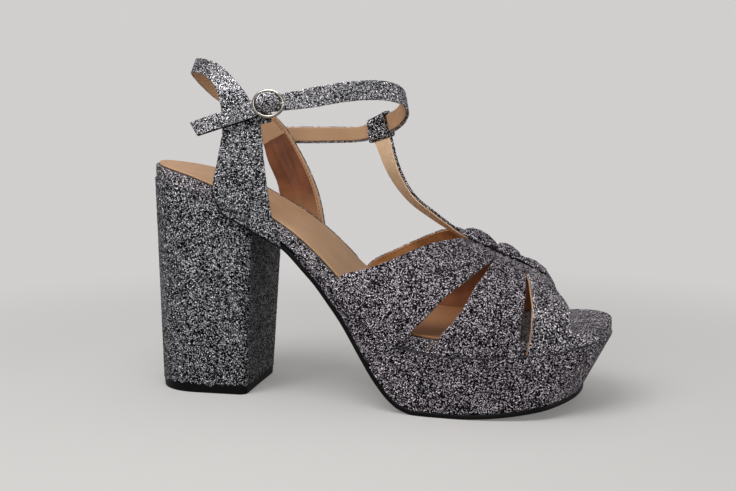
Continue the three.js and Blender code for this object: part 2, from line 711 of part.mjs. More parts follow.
add('top_lift', makeLift(), 'rubber');
add('heel', makeHeel(), 'glitter');
add('outsole', makeOutsole(), 'rubber');
add('platform', makePlatform(), 'glitter');
add('footbed', makeFootbed(), 'glitter');
add('sock', makeSock(), 'lining');
add('vamp_with_t_strap', makeVamp(), 'glitter');
add('quarters_with_back_strap', makeQuarters(), 'glitter');
add('ankle_strap', makeAnkleStrap(), 'glitter');
add('buckle', makeBuckle(), 'metal');
add('buckle_prong', makeProng(), 'metal');

// The origin is on the floor at the middle of the top lift
shoe.position.x = -heelFloorLength / 2;

export default shoe;
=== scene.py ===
"""The looks of the heeled sandal: glitter fabric, tan linings, black rubber and a pale metal buckle.

Lengths are in millimetres until a mesh is made. X runs from the heel to the toe, Y towards the inner
side of the foot and Z up from the floor. The origin is under the middle of the top lift.
"""
import bmesh
import bpy
import numpy as np
from mathutils import Matrix, Vector


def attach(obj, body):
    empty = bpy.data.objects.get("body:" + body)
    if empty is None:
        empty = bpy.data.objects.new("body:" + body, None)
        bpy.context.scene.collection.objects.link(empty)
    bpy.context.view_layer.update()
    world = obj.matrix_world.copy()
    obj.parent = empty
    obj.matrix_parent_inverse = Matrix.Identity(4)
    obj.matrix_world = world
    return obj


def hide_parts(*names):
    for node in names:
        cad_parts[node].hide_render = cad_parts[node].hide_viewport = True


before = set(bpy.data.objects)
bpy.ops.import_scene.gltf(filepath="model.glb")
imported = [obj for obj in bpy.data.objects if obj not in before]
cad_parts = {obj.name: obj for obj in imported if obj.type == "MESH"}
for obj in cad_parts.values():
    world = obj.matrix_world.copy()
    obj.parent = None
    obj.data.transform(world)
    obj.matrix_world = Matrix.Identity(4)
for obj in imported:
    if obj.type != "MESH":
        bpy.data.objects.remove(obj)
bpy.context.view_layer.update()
MM = 0.001

# The shoe's sizes, the same as in the part's source
FOOT = 229
BALL = 81
SEAT_WIDTH = 56
SEAT = 116.5
FOREFOOT = 36.3
TOE_SPRING = 5.7
INSTEP = 42
ANKLE_RISE = 52
FOOTBED = 6.6
SOCK = 1
SOCK_INSET = 1.2
SOCK_FRONT = 0.723
OUTSOLE = 2.3
SOLE_SPRING = 7
TOE_UNDERCUT = 12.5
PLATFORM_START = 0.346
PLATFORM_MARGIN = 0.4
HEEL_FLOOR_LENGTH = 52
HEEL_TOP_LENGTH = 57.5
HEEL_FLOOR_WIDTH = 47
HEEL_TOP_WIDTH = 55.4
HEEL_BACK_LEAN = 1.4
LIFT = 5.6
UPPER_WALL = 1.8
STRAP_WIDTH = 10
STRAP_WALL = 1.7
RING_WIDTH = 16
RING_RISE = 13.6
WIRE = 0.8
BAR = 0.7
GAP = 0.3
GRAIN = 0.66
LIFT_LEVEL = 0.05
# The vamp's arch: the share of its upright foot, the power of its round, its ridge's way to the inner side
WALL_SHARE = 0.08
ARCH_POWER = 0.91
RIDGE_INWARD = 4


def table(columns, rows):
    """The columns of a table by name."""
    return dict(zip(columns.split(), np.array(rows, float).T))


PLAN = table("at seat ball swing", [
    (0, 0, 0, 0), (0.02, 0.55, 0, 0), (0.05, 0.8, 0, 0), (0.12, 0.98, 0, 0), (0.2, 1, 0, 0),
    (0.36, 0.95, 0, -0.005), (0.42, 0.815, 0.1, -0.012), (0.5, 0.48, 0.45, -0.016),
    (0.58, 0, 0.91, -0.012), (0.65, 0, 0.98, -0.009), (0.72, 0, 1, -0.006), (0.8, 0, 0.975, 0),
    (0.87, 0, 0.9, 0.006), (0.93, 0, 0.74, 0.019), (0.97, 0, 0.53, 0.031), (0.99, 0, 0.32, 0.037),
    (1, 0, 0, 0.04),
])
TREAD = table("at fall spring", [
    (0, 0.994, 0), (0.1, 0.925, 0), (0.188, 0.829, 0), (0.254, 0.732, 0), (0.314, 0.632, 0),
    (0.358, 0.539, 0), (0.402, 0.426, 0), (0.445, 0.302, 0), (0.49, 0.19, 0), (0.533, 0.1, 0),
    (0.576, 0.041, 0), (0.62, 0.011, 0), (0.667, 0, 0), (0.758, 0, 0), (0.818, 0, 0.16),
    (0.889, 0, 0.42), (0.95, 0, 0.75), (1, 0, 1),
])
SOLE = table("at fall spring", [
    (0.254, 1.047, 0), (0.28, 0.998, 0), (0.323, 0.908, 0), (0.358, 0.802, 0), (0.402, 0.662, 0),
    (0.445, 0.502, 0), (0.49, 0.303, 0), (0.515, 0.193, 0), (0.534, 0.124, 0), (0.554, 0.065, 0),
    (0.577, 0.022, 0), (0.607, 0, 0), (0.697, 0, 0), (0.743, 0, 0.07), (0.782, 0, 0.19),
    (0.82, 0, 0.36), (0.856, 0, 0.54), (0.895, 0, 0.76), (0.946, 0, 1),
])
RIDGE = table("at rise", [
    (0.395, 1.68), (0.496, 1.5), (0.556, 1.38), (0.607, 1.26), (0.657, 1.13), (0.697, 1.01),
    (0.743, 0.9), (0.788, 0.78), (0.829, 0.66), (0.869, 0.52), (0.919, 0.34),
])
VAMP = table("across rear front", [
    (0, 0.413, 0.909), (0.08, 0.444, 0.914), (0.14, 0.498, 0.911), (0.21, 0.555, 0.91),
    (0.28, 0.604, 0.902), (0.33, 0.637, 0.887), (0.39, 0.673, 0.873), (0.46, 0.697, 0.866),
    (0.5, 0.7, 0.865), (0.56, 0.675, 0.855), (0.63, 0.648, 0.86), (0.69, 0.615, 0.868),
    (0.75, 0.577, 0.878), (0.84, 0.513, 0.888), (0.93, 0.446, 0.903), (1, 0.413, 0.909),
])
# The two gaps between the bands, from the seam (0) to the ridge (0.5): shares of the foot length.
# Past a gap's tip its two edges are one fold, which runs to the knot
OUTER_GAPS = table("across rear_back rear_fore front_back front_fore", [
    (0, 0.58, 0.633, 0.821, 0.83), (0.04, 0.592, 0.645, 0.818, 0.833),
    (0.08, 0.603, 0.658, 0.815, 0.836),
    (0.12, 0.632, 0.685, 0.816, 0.8385), (0.165, 0.659, 0.706, 0.8185, 0.839),
    (0.2, 0.68, 0.717, 0.821, 0.839),
    (0.24, 0.704, 0.727, 0.823, 0.837), (0.29, 0.727, 0.7415, 0.823, 0.833),
    (0.34, 0.745, 0.75, 0.821, 0.829),
    (0.38, 0.757, 0.7575, 0.8185, 0.822), (0.41, 0.759, 0.7595, 0.817, 0.8175),
    (0.5, 0.76, 0.7605, 0.812, 0.8125),
])
# On the inner side the gaps lie further back
INNER_GAPS = table("across rear_back rear_fore front_back front_fore", [
    (0, 0.538, 0.587, 0.78, 0.79), (0.04, 0.548, 0.596, 0.778, 0.793),
    (0.08, 0.559, 0.607, 0.776, 0.796),
    (0.12, 0.588, 0.635, 0.7765, 0.798), (0.165, 0.616, 0.656, 0.779, 0.799),
    (0.2, 0.641, 0.668, 0.782, 0.7975),
    (0.24, 0.665, 0.682, 0.784, 0.795), (0.29, 0.69, 0.6955, 0.7815, 0.789),
    (0.33, 0.71, 0.7105, 0.783, 0.7835),
    (0.38, 0.735, 0.7355, 0.79, 0.7905), (0.41, 0.745, 0.7455, 0.798, 0.7985),
    (0.5, 0.76, 0.7605, 0.812, 0.8125),
])
STRAP_COLUMNS = "at out up to_at to_out to_up wide"
QUARTERS = table(STRAP_COLUMNS, [
    (0.258, -1.04, -0.64, 0.88, 0, -0.48, 3.31), (0.237, -1.04, -0.38, 0.93, 0, -0.37, 3.16),
    (0.235, -1.03, 0, 1, 0, -0.02, 2.34), (0.236, -0.985, 0.33, 1, 0, 0.08, 1.88),
    (0.219, -0.94, 0.57, 1, -0.07, 0.03, 1.5), (0.187, -0.76, 0.74, 0.94, -0.24, 0.24, 1.19),
    (0.147, -0.51, 0.86, 0.8, -0.4, 0.45, 1.13), (0.089, -0.04, 0.9, 0.48, -0.32, 0.82, 0.9),
    (0.105, 0.54, 0.73, 0.28, -0.14, 0.95, 1.05), (0.177, 0.91, 0.48, 0.49, 0, 0.87, 1.03),
    (0.22, 0.98, 0.31, 0.79, 0.01, 0.61, 1.39), (0.256, 1, 0, 0.98, 0, 0.21, 1.94),
    (0.286, 1.03, -0.32, 0.99, 0, -0.15, 2.3), (0.299, 1.04, -0.7, 0.91, 0, -0.42, 2.86),
])
ANKLE = table(STRAP_COLUMNS, [
    (0.209, 1.07, 0.24, 0, 0, 1, 0.9), (0.275, 1.07, 0.24, 0, 0, 1, 0.9), (0.366, 0.99, 0.24, 0, 0, 1, 0.87),
    (0.444, 0.86, 0.25, -0.05, 0, 1, 0.82), (0.507, 0.57, 0.33, -0.21, 0, 0.98, 0.96),
    (0.547, 0.24, 0.42, -0.18, -0.05, 0.98, 0.98), (0.564, -0.07, 0.52, -0.14, -0.2, 0.97, 1),
    (0.558, -0.33, 0.59, -0.14, -0.16, 0.98, 0.94), (0.526, -0.66, 0.63, -0.02, 0, 1, 0.91),
    (0.465, -0.89, 0.62, 0, 0, 1, 0.92), (0.393, -1, 0.57, 0, 0, 1, 0.93),
    (0.34, -1.055, 0.535, -0.06, 0, 1, 0.82), (0.322, -1.062, 0.525, -0.08, 0, 1, 0.8),
    (0.301, -1.163, 0.515, -0.1, 0, 1, 0.82), (0.281, -1.062, 0.492, -0.16, 0, 0.99, 0.7),
    (0.26, -1.062, 0.46, -0.25, 0, 0.97, 0.74), (0.191, -1.08, 0.37, -0.35, 0, 0.93, 0.72),
    (0.135, -1.08, 0.295, -0.5, 0, 0.86, 0.72),
])
T_STRAP = table(STRAP_COLUMNS, [
    (0.707, 0.02, -0.75, 0.62, -0.78, -0.04, 1.28), (0.679, 0.02, -0.69, 0.55, -0.84, -0.06, 1.32),
    (0.621, 0.12, -0.53, 0.28, -0.92, 0.26, 1.19), (0.571, 0.25, -0.37, 0.34, -0.88, 0.33, 1.14),
    (0.531, 0.38, -0.13, 0.58, -0.72, 0.39, 1.11), (0.498, 0.62, 0.2, 0.83, -0.5, 0.25, 1.2),
])
LOOP_START = 0.196
LOOP_END = 0.245
BAR_SHARE = 13 / 17


def mix(a, b, t):
    return a + (b - a) * t


def unit(vectors):
    return vectors / np.maximum(np.linalg.norm(vectors, axis=-1, keepdims=True), 1e-9)


def full_turn(count):
    """Even angles round a circle."""
    return np.linspace(0, 2 * np.pi, count, endpoint=False)


def smooth(xs, ys):
    """A curve through the points that never overshoots them: cubic pieces, whose slope at a point is
    the weighted harmonic mean of the slopes on its two sides, or zero where these change sign."""
    xs, ys = np.asarray(xs, float), np.asarray(ys, float)
    step = np.diff(xs)
    slope = np.diff(ys) / step
    before, after = slope[:-1], slope[1:]
    weight_before, weight_after = 2 * step[1:] + step[:-1], step[1:] + 2 * step[:-1]
    same = before * after > 0
    safe_before, safe_after = np.where(same, before, 1), np.where(same, after, 1)
    mean = (weight_before + weight_after) / (weight_before / safe_before + weight_after / safe_after)
    tangent = np.concatenate([slope[:1], np.where(same, mean, 0), slope[-1:]])

    def curve(x):
        x = np.clip(x, xs[0], xs[-1])
        i = np.clip(np.searchsorted(xs, x, side="right") - 1, 0, len(step) - 1)
        t = (x - xs[i]) / step[i]
        rest = 1 - t
        level = ys[i] * rest * rest * (1 + 2 * t) + ys[i + 1] * t * t * (3 - 2 * t)
        return level + step[i] * (tangent[i] * t * rest * rest - tangent[i + 1] * t * t * rest)
    return curve


def turn_of(share):
    """The angle that keeps both ends of the plan round."""
    return np.arccos(1 - 2 * np.clip(share, 0, 1))


half_by_turn = smooth(turn_of(PLAN["at"]), (PLAN["seat"] * SEAT_WIDTH + PLAN["ball"] * BALL) / 2)
swing_by_turn = smooth(turn_of(PLAN["at"]), PLAN["swing"] * BALL)
tread_fall, tread_spring = smooth(TREAD["at"], TREAD["fall"]), smooth(TREAD["at"], TREAD["spring"])
sole_fall, sole_spring = smooth(SOLE["at"], SOLE["fall"]), smooth(SOLE["at"], SOLE["spring"])
ridge_rise = smooth(RIDGE["at"], RIDGE["rise"])
PITCH = SEAT - FOREFOOT


def half_at(share):
    return half_by_turn(turn_of(share))


def centre_at(share):
    return swing_by_turn(turn_of(share))


def upright(height, x, thickness):
    """Thickness measured straight up through a sheet that slopes in side view."""
    return thickness * np.hypot(1, height(x + 0.5) - height(x - 0.5))


def tread_top(x):
    return FOREFOOT + tread_fall(x / FOOT) * PITCH + tread_spring(x / FOOT) * TOE_SPRING


def footbed_top(x):
    return tread_top(x) - GAP - SOCK / 2


def footbed_under(x):
    return footbed_top(x) - upright(footbed_top, x, FOOTBED)


def outsole_drawn(x):
    return sole_fall(x / FOOT) * PITCH + sole_spring(x / FOOT) * SOLE_SPRING


def outsole_top(x):
    drawn = outsole_drawn(x) + upright(outsole_drawn, x, OUTSOLE)
    return np.minimum(drawn, footbed_under(x) - upright(footbed_under, x, GAP))


def outsole_under(x):
    return outsole_top(x) - upright(outsole_drawn, x, OUTSOLE)


def platform_reach(share):
    """How far the platform stands out: as far as the vamp's wall, less at both ends."""
    from_shank = np.clip((share - 0.385) / 0.035, 0, 1)
    to_toe = np.clip((share - 0.9) / 0.06, 0, 1)
    return mix(GAP + UPPER_WALL, PLATFORM_MARGIN, to_toe) * from_shank


def lower_x(share):
    """The sole's lower outline leans back under the toe."""
    lean = np.clip((share - 0.7) / 0.3, 0, 1)
    return share * FOOT - TOE_UNDERCUT * lean * lean


def heel_half(share, half):
    """Half width of the heel's section: a round back, straight sides and a flat breast."""
    back = np.where(share < 0.5, (1 - np.clip(1 - share / 0.5, 0, 1) ** 2.3) ** 0.46, 1)
    front = 1 - 0.09 * np.clip((share - 0.93) / 0.07, 0, 1) ** 2
    return half * back * front


def last_point(share, across):
    """The last's surface: up beside the footbed, then an arch whose height and width follow powers
    of a sine and a cosine, from the outer seam (0) over the ridge (0.5) to the inner seam (1)."""
    x = share * FOOT
    half = half_at(share) + GAP
    from_seam = np.minimum(across, 1 - across)
    sign = np.where(across < 0.5, -1, 1)
    seam = footbed_under(x) + 0.6 * np.abs(footbed_under(x + 0.5) - footbed_under(x - 0.5))
    turn = np.clip((from_seam - WALL_SHARE) / (0.5 - WALL_SHARE), 0, 1) * np.pi / 2
    rise = np.sin(turn) ** ARCH_POWER * ridge_rise(share) * INSTEP
    side = sign * half * np.cos(turn) ** ARCH_POWER + RIDGE_INWARD * np.sin(turn) ** 2
    wall = mix(seam, tread_top(x), np.clip(from_seam / WALL_SHARE, 0, 1))
    z = np.where(from_seam < WALL_SHARE, wall, tread_top(x) + rise)
    return np.stack(np.broadcast_arrays(x, centre_at(share) + side, z), -1)


def spline(points):
    """A centripetal Catmull-Rom curve through the points, as a function of a share from 0 to 1."""
    points = np.asarray(points, float)
    ends = [2 * points[0] - points[1]], points, [2 * points[-1] - points[-2]]
    full = np.concatenate(ends)
    step = np.linalg.norm(np.diff(full, axis=0), axis=1)[:, None] ** 0.5
    p0, p1, p2, p3 = full[:-3], full[1:-2], full[2:-1], full[3:]
    d0, d1, d2 = step[:-2], step[1:-1], step[2:]
    leave = ((p1 - p0) / d0 - (p2 - p0) / (d0 + d1) + (p2 - p1) / d1) * d1
    arrive = ((p2 - p1) / d1 - (p3 - p1) / (d1 + d2) + (p3 - p2) / d2) * d1

    def curve(share):
        place = np.clip(np.asarray(share, float), 0, 1) * len(p1)
        i = np.minimum(place.astype(int), len(p1) - 1)
        t = (place - i)[..., None]
        return (p1[i] + leave[i] * t + (3 * (p2[i] - p1[i]) - 2 * leave[i] - arrive[i]) * t ** 2
                + (2 * (p1[i] - p2[i]) + leave[i] + arrive[i]) * t ** 3)
    return curve


def strap_surface(rows, wider=0):
    """The ruled surface between the curves through the two ends of a strap's sections."""
    middle = np.stack([rows["at"] * FOOT, rows["out"] * SEAT_WIDTH / 2, SEAT + rows["up"] * ANKLE_RISE], -1)
    way = unit(np.stack([rows["to_at"], rows["to_out"], rows["to_up"]], -1))
    reach = way * (rows["wide"] * STRAP_WIDTH / 2 + wider)[:, None]
    near, far = spline(middle - reach), spline(middle + reach)
    return lambda u, v: mix(near(u), far(u), np.asarray(v)[..., None])


def normals(grid):
    """Unit normals of a grid of points: the cross product of its two directions."""
    return unit(np.cross(np.gradient(grid, axis=0), np.gradient(grid, axis=1)))


def grid_faces(rows, columns, start=0, around=False, turned=False):
    """The four corners of each face of a grid whose points are numbered row by row."""
    last = columns if around else columns - 1
    i, j = np.meshgrid(np.arange(rows - 1), np.arange(last), indexing="ij")
    following = (j + 1) % columns
    corners = [i * columns + j, (i + 1) * columns + j, (i + 1) * columns + following, i * columns + following]
    faces = np.stack(corners, -1).reshape(-1, 4) + start
    return faces[:, ::-1] if turned else faces


def piece(name, shape, material, node, flat=False):
    """A finished piece from its shape, points in the shoe's own millimetres and faces: doubles merged,
    normals turned outwards, riding on the one body and standing for its node."""
    points, faces = shape
    moved = (np.asarray(points, float).reshape(-1, 3) - [HEEL_FLOOR_LENGTH / 2, 0, 0]) * MM
    mesh = bpy.data.meshes.new(name)
    mesh.from_pydata(moved.tolist(), [], np.asarray(faces).tolist())
    build = bmesh.new()
    build.from_mesh(mesh)
    bmesh.ops.remove_doubles(build, verts=build.verts, dist=2e-6)
    bmesh.ops.dissolve_degenerate(build, edges=build.edges, dist=1e-7)
    bmesh.ops.recalc_face_normals(build, faces=build.faces)
    build.to_mesh(mesh)
    build.free()
    mesh.polygons.foreach_set("use_smooth", np.full(len(mesh.polygons), not flat))
    mesh.materials.append(material)
    made = bpy.data.objects.new(name, mesh)
    bpy.context.scene.collection.objects.link(made)
    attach(made, "root")
    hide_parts(node)
    return made


def roughen(made, depth, sway, seed):
    """Moves every point of a glitter piece a little along and beside its normal, so that each face
    is a flake that leans its own way."""
    mesh = made.data
    count = len(mesh.vertices)
    points, lean = np.empty(count * 3), np.empty(count * 3)
    mesh.vertices.foreach_get("co", points)
    mesh.vertices.foreach_get("normal", lean)
    draw = np.random.default_rng(seed)
    along = draw.uniform(-1, 1, (count, 1)) * depth * MM
    beside = draw.uniform(-1, 1, (count, 3)) * sway * MM
    lean = lean.reshape(-1, 3)
    beside -= (beside * lean).sum(1, keepdims=True) * lean
    moved = points.reshape(-1, 3) + lean * along + beside
    moved[:, 2] = np.maximum(moved[:, 2], 0)
    mesh.vertices.foreach_set("co", moved.ravel())
    mesh.update()


def glitter_piece(name, shape, material, node, depth, sway, seed):
    """A piece of glitter fabric, faceted into flakes that stand out and lie aside by some depth and
    sway in millimetres."""
    roughen(piece(name, shape, material, node, flat=True), depth, sway, seed)


# Shapes: slabs of the sole
def outline(half, start, end, cell, length=FOOT):
    """Shares of the length and sides (-1 outer, 1 inner) of evenly spaced points round a piece: from
    the middle of its rear end along the outer side to the middle of its front end, and mirrored back."""
    dense = mix(start, end, (1 - np.cos(np.linspace(0, np.pi, 1200))) / 2)
    cross = np.linspace(0, -1, 60)
    share = np.concatenate([np.full(60, start), dense, np.full(60, end)])
    side = np.concatenate([cross, np.full(1200, -1), cross[::-1]])
    place = np.stack([share * length, side * half(share)], -1)
    run = np.concatenate([[0], np.cumsum(np.linalg.norm(np.diff(place, axis=0), axis=1))])
    run += np.arange(len(run)) * 1e-9
    even = np.linspace(0, run[-1], max(int(run[-1] / cell), 8))
    share, side = np.interp(even, run, share), np.interp(even, run, side)
    return np.concatenate([share, share[-2:0:-1]]), np.concatenate([side, -side[-2:0:-1]])


def slab(upper, lower, top, bottom, centre, rim, cell, caps=(2, 2)):
    """A closed slab between a lower and an upper outline: a cap from the spine to the rim, a quarter
    round, the side, a quarter round and the other cap."""
    def inward(edge):
        reach = min(8, np.ptp(edge[:, 0]) / 4)
        spine_x = np.clip(edge[:, 0], edge[:, 0].min() + reach, edge[:, 0].max() - reach)
        spine = np.stack([spine_x, centre(spine_x)], -1)
        way = spine - edge
        return spine, way / np.maximum(np.linalg.norm(way, axis=1, keepdims=True), 1e-6)
    (upper_spine, upper_in), (lower_spine, lower_in) = inward(upper), inward(lower)
    high, low = top(upper[:, 0]), bottom(lower[:, 0])
    rim = np.minimum(rim, np.maximum(high - low, 0.05) / 2.2)[:, None]
    angles = np.linspace(0, np.pi / 2, 4)
    rows = []

    def lay(flat, level):
        rows.append(np.concatenate([flat, np.asarray(level).reshape(-1, 1)], 1))
    for k in np.linspace(1, 0, caps[0] + 1)[:-1]:
        flat = mix(lower + lower_in * rim, lower_spine, k)
        lay(flat, bottom(flat[:, 0]))
    for angle in angles[::-1]:
        lay(lower + lower_in * rim * (1 - np.cos(angle)), low + rim[:, 0] * (1 - np.sin(angle)))
    for h in np.linspace(0, 1, max(int(np.max(high - low) / cell), 2) + 1)[1:-1]:
        lay(mix(lower, upper, h), mix(low + rim[:, 0], high - rim[:, 0], h))
    for angle in angles:
        lay(upper + upper_in * rim * (1 - np.cos(angle)), high - rim[:, 0] * (1 - np.sin(angle)))
    for k in np.linspace(0, 1, caps[1] + 1)[1:]:
        flat = mix(upper + upper_in * rim, upper_spine, k)
        lay(flat, top(flat[:, 0]))
    points = np.stack(rows)
    return points, grid_faces(points.shape[0], points.shape[1], around=True)


def spaced(length, cell, rim):
    """Shares along a length: a few close to each end within the rim, and even steps between."""
    edge = rim / length * np.array([0, 0.08, 0.3, 0.62])
    inner = rim / length
    middle = np.linspace(inner, 1 - inner, max(int((length - 2 * rim) / cell), 2) + 1)
    return np.concatenate([edge, middle, 1 - edge[::-1]])


def strip(surface, low, high, cell=GRAIN, rim=0.6, crown=None, start=0, end=1, inset=(0, 0, 0, 0)):
    """A closed strip between two distances from a surface. Its thickness falls to nothing at the
    edges along a quarter ellipse as wide as the rim. The crown adds a height of its own. The insets
    draw in its start, its end, its first side and its second side."""
    probe = surface(*np.meshgrid(np.linspace(start, end, 80), np.linspace(0, 1, 9), indexing="ij"))
    long = np.linalg.norm(np.diff(probe, axis=0), axis=-1).sum(0).max()
    wide = np.linalg.norm(np.diff(probe, axis=1), axis=-1).sum(1).mean()
    u, v = np.meshgrid(spaced(long, cell, rim), spaced(wide, cell, rim), indexing="ij")
    place_u = mix(start, end, mix(inset[0] / long, 1 - inset[1] / long, u))
    place_v = mix(inset[2] / wide, 1 - inset[3] / wide, v)
    middle = surface(place_u, place_v)
    way = normals(middle)
    edge = np.minimum(np.minimum(u, 1 - u) * long, np.minimum(v, 1 - v) * wide)
    lift = np.sqrt(np.clip(1 - (1 - np.clip(edge / rim, 0, 1)) ** 2, 0, 1))[..., None]
    extra = 0 if crown is None else crown(place_u, place_v)[..., None]
    centre, half = (low + high) / 2, (high - low) / 2
    faces = [middle + way * (centre + side * half * lift + extra) for side in (1, -1)]
    rows, columns = u.shape
    points = np.concatenate([face.reshape(-1, 3) for face in faces])
    return points, np.concatenate([
        grid_faces(rows, columns), grid_faces(rows, columns, rows * columns, turned=True)])


def tube(path, radius, around=12, closed=False):
    """A round tube carried along a path of points, with flat ends drawn to a point unless closed."""
    path = np.asarray(path, float)
    if closed:
        way = np.roll(path, -1, 0) - np.roll(path, 1, 0)
    else:
        way = np.gradient(path, axis=0)
    way = unit(way)
    aside = unit(np.cross(way, [0, 1, 0]))
    other = np.cross(way, aside)
    turn = full_turn(around)
    radius = np.broadcast_to(radius, len(path))[:, None, None]
    circle = np.cos(turn)[:, None] * aside[:, None] + np.sin(turn)[:, None] * other[:, None]
    ring = path[:, None] + radius * circle
    if closed:
        ring = np.concatenate([ring, ring[:1]])
    else:
        ends = [np.broadcast_to(path[i], (1, around, 3)) for i in (0, -1)]
        ring = np.concatenate([ends[0], ring, ends[1]])
    return ring, grid_faces(ring.shape[0], around, around=True)


# Materials
def colour(red, green, blue):
    """A colour given in the screen's own scale from 0 to 255, as linear values."""
    share = np.array([red, green, blue]) / 255
    linear = np.where(share <= 0.04045, share / 12.92, ((share + 0.055) / 1.055) ** 2.4)
    return (*linear.tolist(), 1)


def new_group(name, inputs, outputs):
    """An empty shader node group whose inputs and outputs have the given names and kinds."""
    group = bpy.data.node_groups.new(name, "ShaderNodeTree")
    for way, sockets in (("INPUT", inputs), ("OUTPUT", outputs)):
        for socket, kind in sockets.items():
            group.interface.new_socket(socket, in_out=way, socket_type="NodeSocket" + kind)
    given, result = group.nodes.new("NodeGroupInput"), group.nodes.new("NodeGroupOutput")
    return group, given.outputs, result.inputs


def set_values(node, values):
    """Sets a node's inputs by name."""
    for socket, value in values.items():
        node.inputs[socket].default_value = value


def put(tree, value, socket):
    """Feeds a socket: with a link where the value is a socket, else with the value itself."""
    if isinstance(value, bpy.types.NodeSocket):
        tree.links.new(value, socket)
    else:
        socket.default_value = value


def math_node(tree, operation, *values, kind="Math"):
    """The result of a Math or VectorMath node on sockets or numbers."""
    node = tree.nodes.new("ShaderNode" + kind)
    node.operation = operation
    for socket, value in zip(node.inputs, values):
        put(tree, value, socket)
    return node.outputs[0]


def share_node(tree, value, low, high):
    """How far a socket's value lies from a low level (0) to a high level (1)."""
    node = tree.nodes.new("ShaderNodeMapRange")
    set_values(node, {"From Min": low, "From Max": high})
    put(tree, value, node.inputs["Value"])
    return node.outputs[0]


def camera_share(tree, others, camera):
    """One value for the camera's rays and another for all other rays."""
    node = tree.nodes.new("ShaderNodeMapRange")
    set_values(node, {"To Min": others, "To Max": camera})
    put(tree, tree.nodes.new("ShaderNodeLightPath").outputs["Is Camera Ray"], node.inputs["Value"])
    return node.outputs[0]


def blend_node(tree, share, a, b, way="MIX"):
    """The colour at a share between two colours or sockets."""
    node = tree.nodes.new("ShaderNodeMix")
    node.data_type = "RGBA"
    node.blend_type = way
    for socket, value in (("Factor", share), ("A", a), ("B", b)):
        put(tree, value, node.inputs[socket])
    return node.outputs["Result"]


def coordinates(tree):
    return tree.nodes.new("ShaderNodeTexCoord").outputs["Object"]


def noise_node(tree, scale, detail=2):
    """The grey of a soft noise in the piece's own coordinates."""
    node = tree.nodes.new("ShaderNodeTexNoise")
    put(tree, coordinates(tree), node.inputs["Vector"])
    put(tree, scale, node.inputs["Scale"])
    node.inputs["Detail"].default_value = detail
    return node.outputs["Fac"]


def relief_node(tree, height, strength, depth):
    """The normal of a relief of some depth in millimetres."""
    node = tree.nodes.new("ShaderNodeBump")
    set_values(node, {"Strength": strength, "Distance": depth * MM})
    put(tree, height, node.inputs["Height"])
    return node.outputs["Normal"]


# The greys between which a flake turns from dark to middle, and from middle to light
DARK_TO_MIDDLE = 0.46, 0.66
MIDDLE_TO_LIGHT = 0.66, 0.89
FLAKE_SIZE = 0.38


def flake_group():
    """Glitter flakes: each cell of a fine pattern has its own grey between a dark, a middle and a
    light colour, its own roughness and its own lean."""
    group, given, result = new_group(
        "glitter_flakes",
        {"Size": "Float", "Dark": "Color", "Middle": "Color", "Light": "Color", "Lean": "Float"},
        {"Color": "Color", "Roughness": "Float", "Normal": "Vector"})
    cells = group.nodes.new("ShaderNodeTexVoronoi")
    put(group, coordinates(group), cells.inputs["Vector"])
    put(group, math_node(group, "DIVIDE", 1 / MM, given["Size"]), cells.inputs["Scale"])
    own = cells.outputs["Color"]
    split = group.nodes.new("ShaderNodeSeparateColor")
    put(group, own, split.inputs[0])
    drift = math_node(group, "MULTIPLY_ADD", noise_node(group, 140, 3), 0.24, -0.12)
    grey = math_node(group, "ADD", split.outputs[0], drift)
    body = blend_node(group, share_node(group, grey, *DARK_TO_MIDDLE), given["Dark"], given["Middle"])
    bright = math_node(group, "POWER", share_node(group, grey, *MIDDLE_TO_LIGHT), 1.3)
    put(group, blend_node(group, bright, body, given["Light"]), result["Color"])
    put(group, math_node(group, "MULTIPLY_ADD", split.outputs[1], 0.4, 0.22), result["Roughness"])
    normal = group.nodes.new("ShaderNodeNewGeometry").outputs["Normal"]
    centred = math_node(group, "SUBTRACT", own, (0.5, 0.5, 0.5), kind="VectorMath")
    leaned = math_node(group, "MULTIPLY_ADD", centred, given["Lean"], normal, kind="VectorMath")
    put(group, math_node(group, "NORMALIZE", leaned, kind="VectorMath"), result["Normal"])
    return group


def grain_group():
    """Fine grain over soft patches: a colour between two, and a height for a Bump node."""
    group, given, result = new_group(
        "fine_grain", {"Size": "Float", "Patches": "Float", "First": "Color", "Second": "Color"},
        {"Color": "Color", "Height": "Float"})
    fine, broad = (noise_node(group, math_node(group, "DIVIDE", 1 / MM, given[size]), 4)
                   for size in ("Size", "Patches"))
    share = share_node(group, broad, 0.35, 0.65)
    put(group, blend_node(group, share, given["First"], given["Second"]), result["Color"])
    put(group, fine, result["Height"])
    return group


FLAKES = flake_group()
FINE_GRAIN = grain_group()


def new_material(name, values):
    """A material, its tree and the inputs of its shader, which start at the given values."""
    material = bpy.data.materials.new(name)
    material.use_nodes = True
    shader = material.node_tree.nodes["Principled BSDF"]
    set_values(shader, values)
    return material, material.node_tree, shader.inputs


def use_group(tree, group, values):
    """The outputs of a group that is used in a material with the given values."""
    node = tree.nodes.new("ShaderNodeGroup")
    node.node_tree = group
    set_values(node, values)
    return node.outputs


def glitter(name, dark, middle, light, lean=1):
    material, tree, shader = new_material(name, {"Metallic": 0.6, "Specular IOR Level": 0.12})
    flakes = use_group(tree, FLAKES, {
        "Size": FLAKE_SIZE, "Dark": colour(*dark), "Middle": colour(*middle), "Light": colour(*light),
        "Lean": lean,
    })
    for output, socket in (("Color", "Base Color"), ("Roughness", "Roughness"), ("Normal", "Normal")):
        put(tree, flakes[output], shader[socket])
    return material


